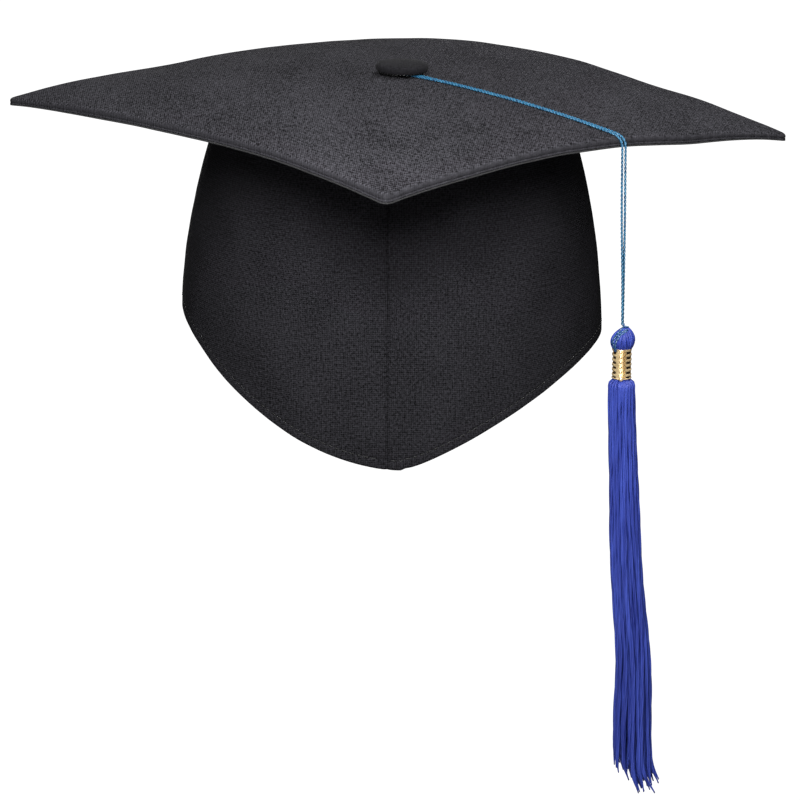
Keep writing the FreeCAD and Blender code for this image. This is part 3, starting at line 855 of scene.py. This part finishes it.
def crown_grid(angles, rows, depths, dip=True, stop=0.0):
    """One surface of a crown layer, its rows from the hem to the board."""
    columns = [(theta, crown_ends(theta, PANEL)) for theta in angles]
    grid = []
    for (rise, share), depth in zip(rows, depths):
        row = []
        for theta, (low, high) in columns:
            left = high - stop - low - rise
            row.append(crown_point(theta, rise + share * left, depth, dip, (low, high)))
        grid.append(row)
    return grid


def crown_cloth(side):
    """Half of the crown's outer cloth, with its hem turned up inside."""
    rises = [0.0, 0.12, 0.4, 0.9, 1.6, 2.6, 3.6, 4.1, 4.5, 4.9, 5.4, 5.9, 6.2, 7.2, 9.0]
    rows = crown_rows([rise * MM for rise in rises], 46)
    outer_depths = []
    inner_depths = []
    for rise, share in rows:
        tuck = 0.85 * MM * max(0.0, 1 - rise / (0.9 * MM)) ** 2
        row_dent = 0.28 * MM * bell(rise, HEM_STITCHES, 0.45 * MM) * (share == 0)
        fold = 1.85 * MM if rise < HEM_TURN and share == 0 else PANEL
        outer_depths.append(tuck + row_dent)
        inner_depths.append(fold - tuck)
    angles = half_angles(side)
    outer = crown_grid(angles, rows, outer_depths)
    inner = crown_grid(angles, rows, inner_depths)
    name, node = f"crown_cloth_{side}", f"crown_panel_{side}"
    finish_shell(outer, inner, name, CROWN_CLOTH, "black_cloth", node)


def crown_inner_layer(name, side, depth, thickness, first_rise, material, slot, node, folds=0.0):
    """Interfacing or lining: a thin shell that follows the outer cloth."""
    rows = crown_rows([first_rise, first_rise + 1.5 * MM], 30)
    angles = half_angles(side)
    outer = crown_grid(angles, rows, [depth] * len(rows), dip=False)
    inner = crown_grid(angles, rows, [depth + thickness] * len(rows), dip=False)
    if folds:
        for row in range(2, len(rows) - 1):
            rise = rows[row][1]
            for column, theta in enumerate(angles):
                x, y, z = inner[row][column]
                wave = noise.noise(Vector((theta * 7, z * 12, 5.0)))
                inward = 1 - folds * max(0.0, wave) * sin(pi * rise) / CROWN_RADIUS
                inner[row][column] = (x * inward, y * inward, z)
    finish_shell(outer, inner, name, material, slot, node)


def band_shell(name, angles, rises, depth, thickness, material, slot, node, lift_of, wrap=False):
    """A band inside the crown, between two rises above the hem."""
    outer, inner = [], []
    for share in shares(22):
        rise = rises[0] + (rises[1] - rises[0]) * share
        edge = min(share, 1 - share) * (rises[1] - rises[0])
        roll = 0.35 * thickness * max(0.0, 1 - edge / (0.9 * MM)) ** 2
        outer_row, inner_row = [], []
        for theta in angles:
            inside = depth + thickness - roll + lift_of(theta, share)
            outer_row.append(crown_point(theta, rise, depth + roll, dip=False))
            inner_row.append(crown_point(theta, rise, inside, dip=False))
        outer.append(outer_row)
        inner.append(inner_row)
    finish_shell(outer, inner, name, material, slot, node, wrap)


def stitch_row(bundle, path, normals, length, gap, radius=0.2 * MM, bury=0.16 * MM):
    """Short raised stitches along a path whose points are closely spaced."""
    travelled = 0.0
    stitch = []
    for index in range(1, len(path)):
        travelled += (path[index] - path[index - 1]).length
        phase = travelled % (length + gap)
        if phase < length:
            share = phase / length
            lift = sin(pi * share) * (radius + bury) - bury
            stitch.append(path[index] + normals[index] * lift)
        else:
            if len(stitch) > 3:
                bundle.tube(stitch, radius, 6)
            stitch = []


def crown_stitches(bundle, first, last, rise, depth, inward, length=2.6 * MM, gap=0.6 * MM):
    """A stitch row at one rise above the hem, on the outer or the inner face."""
    count = int(abs(last - first) * CROWN_RADIUS / (0.4 * MM))
    path, normals = [], []
    for step in range(count + 1):
        theta = first + (last - first) * step / count
        if seam_distance(theta) < 1.6 * MM and not inward:
            continue
        path.append(Vector(crown_point(theta, rise, depth, dip=not inward)))
        sign = -1 if inward else 1
        normals.append(Vector((cos(theta), sin(theta), 0)) * sign)
    stitch_row(bundle, path, normals, length, gap)


def crown_outer_stitching():
    bundle = Bundle()
    crown_stitches(bundle, FRONT, FRONT + 2 * pi, HEM_STITCHES, 0.22 * MM, inward=False)
    bundle.finish("hem_topstitching", THREAD, "cap", "thread")


def quilting(theta, share):
    """Soft pads between stitched lines on the sweatband."""
    ripple = 0.12 * MM * sin(theta * 150) * sin(pi * share)
    channels = bell(share, 0.10, 0.035) + bell(share, 0.90, 0.035)
    return ripple - 0.25 * MM * channels


def ribs(theta, share):
    """Lengthwise ribs of the elastic, gathered across."""
    rib = 0.13 * MM * cos(2 * pi * 7 * share)
    gather = 0.22 * MM * sin(theta * 104) + 0.1 * MM * sin(theta * 171 + 4 * share)
    return rib + gather


def make_crown_inside():
    for side in ("right", "left"):
        crown_inner_layer(
            f"crown_interfacing_{side}", side, INTERFACING_DEPTH, INTERFACING_THICKNESS, 6 * MM,
            INTERFACING, "interfacing", f"crown_stiffener_{side}",
        )
        crown_inner_layer(
            f"inner_lining_{side}", side, LINING_DEPTH, LINING_THICKNESS, 2 * MM,
            LINING_CLOTH, "lining_cloth", f"crown_lining_{side}", folds=0.9 * MM,
        )
    whole = [FRONT + turn for turn in turns(260)]
    band_shell(
        "head_band", whole, (1 * MM, BAND_TOP), BAND_DEPTH, BAND_THICKNESS,
        BAND_CLOTH, "sweatband_cloth", "sweatband", quilting, wrap=True,
    )
    spread = radians(55)
    back_angles = [BACK - spread + 2 * spread * share for share in shares(300)]
    band_shell(
        "gathered_elastic", back_angles, (4 * MM, 16 * MM), ELASTIC_DEPTH, ELASTIC_THICKNESS,
        ELASTIC_CLOTH, "elastic", "elastic_band", ribs,
    )
    stitching = Bundle()
    for rise in (3.5, 23.5):
        crown_stitches(stitching, FRONT, FRONT + 2 * pi, rise * MM, 3.45 * MM, inward=True)
    for rise in (5.2, 14.8):
        crown_stitches(
            stitching, BACK - spread + 0.02, BACK + spread - 0.02, rise * MM, 4.45 * MM,
            inward=True, length=2.0 * MM, gap=0.8 * MM,
        )
    for end in (FRONT, BACK):
        seam_tape(end, stitching)
    stitching.finish("inside_stitching", THREAD, "cap", "thread")


def seam_tape(middle, stitching):
    """Woven tape over an inner seam, from the sweatband to the tip, with its stitches."""
    name = "front" if middle == FRONT else "back"
    half_width = radians(4)
    angles = [middle - half_width + 2 * half_width * share for share in shares(14)]
    rows = crown_rows([BAND_TOP, 28 * MM], 40)
    stop = TIP_THICKNESS + 0.1 * MM
    outer = crown_grid(angles, rows, [TAPE_DEPTH] * len(rows), dip=False, stop=stop)
    inner = crown_grid(angles, rows, [TAPE_INSIDE] * len(rows), dip=False, stop=stop)
    finish_shell(outer, inner, f"{name}_tape", TAPE_CLOTH, "seam_tape", f"{name}_seam_tape")
    for side in (-0.78, 0.78):
        theta = middle + side * half_width
        low, high = crown_ends(theta, PANEL)
        path = []
        for share in shares(280):
            rise = 27 * MM + (high - low - 29 * MM) * share
            path.append(Vector(crown_point(theta, rise, 2.95 * MM, dip=False)))
        stitch_row(stitching, path, [-round_point(1, theta)] * len(path), 2.6 * MM, 0.8 * MM)


def make_tip():
    """Cloth disc under the board, with a rolled rim and soft radial slack."""
    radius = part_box("crown_tip")[1].x
    bottom = BOARD_THICKNESS + TIP_THICKNESS
    outer, inner = [], []
    for share in shares(34):
        reach = PASSAGE_RADIUS + (radius - PASSAGE_RADIUS) * share
        roll = 0.3 * MM * max(0.0, 1 - (radius - reach) / (1.0 * MM)) ** 2
        upper, lower = [], []
        for theta in turns(144):
            x, y, _ = round_point(reach, theta)
            slack = noise.noise(Vector((x * 26, y * 26, 9.0))) * sin(pi * share)
            upper.append((x, y, board_height(x, y, BOARD_THICKNESS + roll)))
            lower.append((x, y, board_height(x, y, bottom - roll + 0.5 * MM * max(0, slack))))
        outer.append(upper)
        inner.append(lower)
    finish_shell(
        outer, inner, "crown_tip_cloth", LINING_CLOTH, "lining_cloth", "crown_tip", wrap=True
    )
    stitches = Bundle()
    path = []
    for theta in turns(1100):
        x, y, _ = round_point(radius - 3 * MM, theta)
        path.append(Vector((x, y, board_height(x, y, bottom))))
    stitch_row(stitches, path, [-UP] * len(path), 3.2 * MM, 1.0 * MM)
    stitches.finish("tip_stitching", THREAD, "cap", "thread")


# ---------------------------------------------------------------- button


def make_button():
    """Cloth stretched over the shell: rounded rim, fine gathers, turned in underneath."""
    low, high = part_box("button_cover")
    radius, base, top = high.x, low.z, high.z
    skin = 0.55 * MM
    rim = 1.5 * MM
    dome = 0.6 * MM
    centre = 0.2 * MM
    flat = radius - rim
    shoulder = top - dome - rim
    # (distance from the axis, height, how far gathered), from the middle outwards.
    rows = []
    for share in shares(14):
        rows.append((centre + (flat - centre) * share, top - dome * share**2.4, 0.0))
    for share in shares(8)[1:]:
        turn = pi / 2 * share
        rows.append((flat + rim * sin(turn), shoulder + rim * cos(turn), 0.35 * share))
    for share in shares(6)[1:]:
        height = shoulder - (shoulder - base) * share
        rows.append((radius - 0.9 * MM * share**2.5, height, 0.35 + 0.65 * share))
    outer, inner = [], []
    for reach, height, gathered in rows:
        inside = max(0.1 * MM, reach - (skin if reach > flat else 0))
        under = max(base, height - (skin if reach <= flat else skin * 0.4))
        outer_row = []
        for theta in turns(240):
            pleat = sin(theta * 44 + 2.2 * noise.noise(Vector((theta * 2, 0, 0))))
            outer_row.append(round_point(reach + gathered * 0.07 * MM * pleat, theta, height))
        outer.append(outer_row)
        inner.append([round_point(inside, theta, under) for theta in turns(240)])
    finish_shell(
        outer, inner, "button_cloth", BUTTON_CLOTH, "black_cloth", "button_cover", wrap=True
    )


# ---------------------------------------------------------------- tassel

SLEEVE_LOW, SLEEVE_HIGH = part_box("tassel_ferrule")
AXIS = (SLEEVE_LOW + SLEEVE_HIGH) / 2 + Vector((HANG_ASIDE, 0, 0))
AXIS.z = 0
# The sleeve has been pushed up the yarn a little.
SLEEVE_RISE = 1.1 * MM
SLEEVE_BOTTOM = SLEEVE_LOW.z + SLEEVE_RISE
SLEEVE_TOP = SLEEVE_HIGH.z + SLEEVE_RISE
HEAD_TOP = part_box("tassel_head")[1].z
SKIRT_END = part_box("tassel_skirt")[0].z
SLEEVE_RADIUS = 4.1 * MM
SLEEVE_BORE = 3.7 * MM


def read_route(name, points):
    """The smooth line that a route's control points give, as closely spaced points."""
    curve = bpy.data.curves.new(name, "CURVE")
    curve.dimensions = "3D"
    curve.resolution_u = 24
    spline = curve.splines.new("NURBS")
    spline.points.add(len(points) - 1)
    for target, point in zip(spline.points, points):
        target.co = (*point, 1)
    spline.order_u = 3
    spline.use_endpoint_u = True
    line = bpy.data.objects.new(name, curve)
    mesh = bpy.data.meshes.new_from_object(line)
    path = [vertex.co.copy() for vertex in mesh.vertices]
    bpy.data.objects.remove(line)
    bpy.data.meshes.remove(mesh)
    return path


def hang(along, aside, height):
    """A point of the hanging cord, which leans a little to the right as it goes down."""
    share = smooth_step(-height, -0.084, -0.012)
    return place(along, aside, height) + Vector((HANG_ASIDE * share, 0, 0))


def make_cord():
    """One length of twisted cord, up from the knot, round the shank and down again."""
    near_drop = [hang(along, aside, height) for along, aside, height in DROP_HALF]
    far_drop = [hang(2 * DROP_REACH - along, -aside, height) for along, aside, height in DROP_HALF]
    near_loop = [place(along, aside, height) for along, aside, height in LOOP_HALF]
    far_loop = [place(along, -aside, height) for along, aside, height in LOOP_HALF]
    route = near_drop[::-1] + near_loop[::-1] + far_loop + far_drop
    path = resample(read_route("cord_route", route), 0.34 * MM)
    length = sum((after - before).length for before, after in zip(path, path[1:]))
    bundle = Bundle()
    bundle.plied(path, CORD_DIAMETER / 2 + 0.07 * MM, 2, 3.6 * MM)
    cord = bundle.make("tassel_cord", CORD_BLUE)
    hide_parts("tassel_loop_cord", "tassel_drop_cord")
    return cord, path, length


def head_profile(share):
    """The head's radius from its top (0) to the sleeve (1): an onion, fullest low down."""
    full = 4.85 * MM
    rising = sin(pi / 2 * min(1.0, share / 0.62)) ** 0.78
    if share > 0.62:
        rising = 1 - 0.24 * ((share - 0.62) / 0.38) ** 1.8
    return 0.7 * MM + (full - 0.7 * MM) * rising


KNOT_PITCH = 3.4 * MM
HEAD_LOW = SLEEVE_TOP - 0.8 * MM
HEAD_HIGH = HEAD_TOP + 1.2 * MM
HEAD_LEAN = Vector((1.5 * MM, -0.1 * MM, 0))


def head_middle(share):
    """The head's own axis, which leans a little towards the cord."""
    return AXIS + HEAD_LEAN * (1 - share) ** 2 + UP * (HEAD_HIGH + (HEAD_LOW - HEAD_HIGH) * share)


def on_head(aside, height, lift):
    """A point on the head's front face, from its distance aside and its height."""
    share = (HEAD_HIGH - height) / (HEAD_HIGH - HEAD_LOW)
    middle = head_middle(share)
    radius = head_profile(max(0.0, share)) + lift
    across = aside + AXIS.x - middle.x
    deep = sqrt(max(0.0, radius**2 - across**2))
    return Vector((middle.x + across, middle.y - deep, height))


def make_knot():
    """The cord's ends part above the head, lie round its shoulder and go under the sleeve."""
    # Distances aside and heights on the head's front, in millimetres, for each end.
    shoulder_ends = [
        [(0.8, 8.9), (-0.6, 7.6), (-1.9, 6.3), (-3.1, 4.7), (-3.9, 2.9), (-3.7, 1.0), (-2.9, -1.4)],
        [(1.9, 7.4), (0.6, 6.7), (-0.8, 5.7), (-2.0, 4.3), (-2.9, 2.6), (-3.0, 0.8), (-2.4, -1.4)],
        [(2.3, 7.9), (1.3, 7.7), (0.3, 7.2), (-1.0, 6.5), (-2.5, 5.5), (-3.7, 3.9), (-4.5, 1.8)],
    ]
    bundle = Bundle()
    for number, points in enumerate(shoulder_ends):
        route = [on_head(x * MM, z * MM, (0.3 + 0.12 * number) * MM) for x, z in points]
        if number == 0:
            route = [AXIS + Vector((0.4, -0.6, 10.3)) * MM] + route
        path = resample(read_route("knot_route", route), 0.3 * MM)
        bundle.plied(path, 0.56 * MM, 2, KNOT_PITCH)
    crown_turn = []
    for share in shares(14):
        turn = radians(-160 + 300 * share)
        coil = round_point(1.15 + 0.05 * share, turn, 9.5 - 1.7 * share)
        crown_turn.append(AXIS + (Vector((1.35, -0.1, 0)) + coil) * MM)
    path = resample(read_route("turn_route", crown_turn), 0.3 * MM)
    bundle.plied(path, 0.47 * MM, 2, KNOT_PITCH)
    # The wraps take the darker copy of the cord's blue: painted shade.
    return bundle.finish("cord_knot", CORD_BLUE_PAINTED_SHADE, "tassel", "cord_blue", "tassel_knot")


def make_head():
    """Yarns folded over the cord and drawn down into the sleeve."""
    random.seed(11)
    bundle = Bundle()
    core = []
    for share in shares(26):
        radius = head_profile(share) * 0.92
        core.append([head_middle(share) + round_point(radius, -turn) for turn in turns(28)])
    bundle.rings(core)
    for number, place_round in enumerate(turns(28)):
        start = place_round + random.uniform(-0.06, 0.06)
        twist = radians(random.uniform(8, 30))
        fat = random.uniform(0.85, 1.2)
        path, radii = [], []
        for share in shares(26):
            angle = start + twist * (share - 0.4) + 0.05 * sin(5 * share + number)
            path.append(head_middle(share) + round_point(head_profile(share) * 0.96, angle))
            radii.append(fat * (0.2 + 0.42 * sin(pi * min(1, share + 0.1)) ** 0.6) * MM)
        bundle.tube(path, radii)
    return bundle.finish("tassel_head_yarn", YARN_BLUE, "tassel", "yarn_blue", "tassel_head")


PANEL_FACING = radians(-94.5)
PANEL_HALF = radians(31)
SLOT_ROWS = 6
SLOT_SHARE = 0.54


def sleeve_turn(angle):
    """The angle away from the middle of the sleeve's raised panel."""
    return abs((angle - PANEL_FACING + pi) % (2 * pi) - pi)


def sleeve_solid(angle, height):
    """True where the sleeve is metal, False in a slot; height runs from 0 to 1."""
    turn = sleeve_turn(angle)
    if turn < PANEL_HALF or pi - turn < radians(30):
        return True
    if height < 0.02 or height > 0.975 or abs(turn - radians(112)) < radians(5):
        return True
    return height * SLOT_ROWS % 1.0 > SLOT_SHARE


def make_sleeve():
    """Gilt sleeve: rows of slots between rings, and a raised panel with a column of beads."""
    around, levels = 144, 90
    height = SLEEVE_TOP - SLEEVE_BOTTOM
    outer_relief = 0.14 * MM
    bundle = Bundle()
    index = {}

    def corner(column, row, outside):
        key = (column % around, row, outside)
        if key not in index:
            angle = 2 * pi * key[0] / around
            radius = SLEEVE_BORE
            if outside:
                panel = 1 - smooth_step(sleeve_turn(angle), PANEL_HALF, PANEL_HALF + 0.05)
                place_up = row / levels * SLOT_ROWS % 1.0
                ridge = sin(pi * max(0, (place_up - SLOT_SHARE) / (1 - SLOT_SHARE)))
                radius = SLEEVE_RADIUS + outer_relief * (panel * 0.7 + (1 - panel) * ridge)
            index[key] = len(bundle.points)
            bundle.points.append(on_sleeve(angle, SLEEVE_BOTTOM + height * row / levels, radius))
        return index[key]

    def solid(column, row):
        if row < 0 or row >= levels:
            return False
        return sleeve_solid(2 * pi * (column % around + 0.5) / around, (row + 0.5) / levels)

    # Each square of metal has four corners, and a wall where its neighbour is a slot.
    corners = ((0, 0), (1, 0), (1, 1), (0, 1))
    neighbours = ((0, -1), (1, 0), (0, 1), (-1, 0))
    for column in range(around):
        for row in range(levels):
            if not solid(column, row):
                continue
            outer = [corner(column + c, row + r, True) for c, r in corners]
            inner = [corner(column + c, row + r, False) for c, r in corners]
            bundle.faces += [tuple(outer), tuple(inner[::-1])]
            for side, (c, r) in enumerate(neighbours):
                after = (side + 1) % 4
                if not solid(column + c, row + r):
                    bundle.faces.append((outer[side], inner[side], inner[after], outer[after]))

    for z in (SLEEVE_BOTTOM + 0.2 * MM, SLEEVE_TOP - 0.2 * MM):
        roped_rim(bundle, z, SLEEVE_RADIUS, 0.22 * MM)
    for row in range(SLOT_ROWS):
        z = SLEEVE_BOTTOM + height * (row + 0.5) / SLOT_ROWS
        for facing in (PANEL_FACING - 0.04, PANEL_FACING + pi):
            bead(bundle, facing, z, 0.74 * MM)
    bead(bundle, PANEL_FACING + 0.04, SLEEVE_BOTTOM + 0.1 * MM, 0.95 * MM)
    piece = bundle.finish("gilt_sleeve", BRASS, "tassel", "ferrule_brass", "tassel_ferrule")
    split = piece.modifiers.new("edges", "EDGE_SPLIT")
    split.split_angle = radians(48)
    return piece


def make_scrolls():
    """Two gilt scrolls that cross beside the beads, in darker brass: painted shade of the pressed
    relief.
    """
    height = SLEEVE_TOP - SLEEVE_BOTTOM
    bundle = Bundle()
    for side in (-1, 1):
        scroll = []
        for share in shares(120):
            angle = PANEL_FACING + 0.33 + side * 0.1 * sin(share * pi * SLOT_ROWS)
            z = SLEEVE_BOTTOM + height * (0.05 + 0.9 * share)
            scroll.append(on_sleeve(angle, z, SLEEVE_RADIUS + 0.2 * MM))
        bundle.tube(scroll, 0.2 * MM, 7)
    return bundle.finish("sleeve_scrolls", SCROLL_BRASS_PAINTED_SHADE, "tassel", "ferrule_brass")


def make_painted_slot_shade():
    """A near-black sheet inside the sleeve, ridged like wound thread, seen through its slots:
    painted shade.
    """
    bundle = Bundle()
    wraps = 26
    outer, inner = [], []
    for share in shares(wraps * 4):
        z = SLEEVE_BOTTOM + 0.25 * MM + (SLEEVE_TOP - SLEEVE_BOTTOM - 0.5 * MM) * share
        ridge = 0.1 * MM * abs(sin(pi * wraps * share))
        outer.append([on_sleeve(angle, z, SLEEVE_BORE - 0.16 * MM + ridge) for angle in turns(72)])
        inner.append([on_sleeve(angle, z, SLEEVE_BORE - 0.45 * MM) for angle in turns(72)])
    bundle.shell(outer, inner, wrap=True)
    return bundle.finish("sleeve_painted_slot_shade", PAINTED_SLOT_SHADE, "tassel", "thread", outwards=True)


def on_sleeve(angle, z, radius):
    return Vector((AXIS.x + radius * cos(angle), AXIS.y + radius * sin(angle), z))


def roped_rim(bundle, z, radius, thickness):
    """A rim like a twisted rope round the sleeve."""
    rings = []
    for angle in turns(96):
        grown = thickness * (1 + 0.1 * sin(24 * angle))
        ring = []
        for turn in turns(10):
            ring.append(on_sleeve(angle, z + grown * sin(turn), radius + grown * cos(turn)))
        rings.append(ring)
    bundle.rings(rings, closed=True)


def bead(bundle, angle, z, radius):
    """A small domed bead standing on the sleeve."""
    centre = on_sleeve(angle, z, SLEEVE_RADIUS - 0.05 * MM)
    path, radii = [], []
    for step in range(7):
        turn = pi * (step + 0.35) / 6.7
        path.append(centre - round_point(1, angle) * cos(turn) * radius * 0.8)
        radii.append(radius * sin(turn))
    bundle.tube(path, radii, 12)


# (radius in the sleeve, at the shoulder, at the end, count) for each ring of strands.
STRAND_LAYERS = [
    (2.8 * MM, 5.15 * MM, 7.9 * MM, 21),
    (1.8 * MM, 3.6 * MM, 6.0 * MM, 15),
    (1.05 * MM, 2.1 * MM, 3.9 * MM, 9),
    (0.25 * MM, 0.6 * MM, 1.5 * MM, 4),
]


def skirt_drift(share):
    """How far the skirt has swung to the right, most of all near its end."""
    aside = 8.6 * share**1.15 + 1.9 * bell(share, 0.68, 0.17)
    return Vector(((aside + 1.8 * smooth_step(share, 0.94, 1.03)) * MM, 0, 0))


def make_skirt():
    """Loose strands that spread below the sleeve, wander a little and end unevenly."""
    random.seed(29)
    bundle = Bundle()
    top = SLEEVE_TOP - 1.0 * MM
    step_length = 1.2 * MM
    for near, shoulder, far, count in STRAND_LAYERS:
        for number in range(count):
            phase = 2 * pi * (number + random.uniform(-0.2, 0.2)) / count
            # Strands on the left are a little shorter than those on the right.
            short = 9 * MM * smooth_step(-cos(phase), 0.1, 1.0) * far / STRAND_LAYERS[0][2]
            end = SKIRT_END - 2 * MM + short + abs(random.gauss(0, 4.4)) * MM
            slack = random.uniform(0.45, 1.0)
            seed = random.uniform(0, 100)
            thickness = random.uniform(0.82, 1.0) * MM
            flick = Vector((random.gauss(1.1, 1.1), random.gauss(0, 0.8), 0)) * MM
            steps = int((top - end) / step_length)
            path, swell = [], []
            for step in range(steps + 1):
                z = top + (end - top) * step / steps
                below = max(0.0, SLEEVE_BOTTOM - z)
                share = below / (SLEEVE_BOTTOM - SKIRT_END)
                spread = near + (shoulder - near) * smooth_step(below, 0, 3.0 * MM)
                spread += (far - shoulder) * share**1.3
                wander = slack * (0.3 + 1.5 * share) * smooth_step(below, 2 * MM, 25 * MM) * MM
                turn = phase + 0.45 * share * noise.noise(Vector((seed, share * 3, 0)))
                sway = [noise.noise(Vector((seed, z * 22, layer))) for layer in (1.0, 7.0)]
                tail = flick * smooth_step(step, steps - 12, steps + 2) ** 2
                centre = AXIS + skirt_drift(share)
                offset = Vector((*sway, 0)) * wander
                path.append(centre + round_point(1, turn) * spread + offset + tail + UP * z)
                grown = 0.55 + 0.45 * smooth_step(below, -1 * MM, 3.5 * MM)
                swell.append(grown * (1 - 0.66 * smooth_step(step, steps - 7, steps)))
            bundle.plied(path, thickness, 3, random.uniform(34, 60) * MM, swell=swell)
    bundle.finish(
        "tassel_strands", YARN_BLUE, "tassel", "yarn_blue", "tassel_skirt", "tassel_yarn_core"
    )


def make_tassel():
    cord, path, length = make_cord()
    knot = make_knot()
    head = make_head()
    sleeve = make_sleeve()
    scrolls = make_scrolls()
    painted_slot_shade = make_painted_slot_shade()
    make_skirt()
    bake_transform(cord)


# ---------------------------------------------------------------- scene

make_camera()
make_world()
make_lights()
make_stage()
make_tassel()
make_board()
for crown_side in ("right", "left"):
    crown_cloth(crown_side)
crown_outer_stitching()
make_crown_inside()
make_tip()
make_button()
dress_cad_nodes()
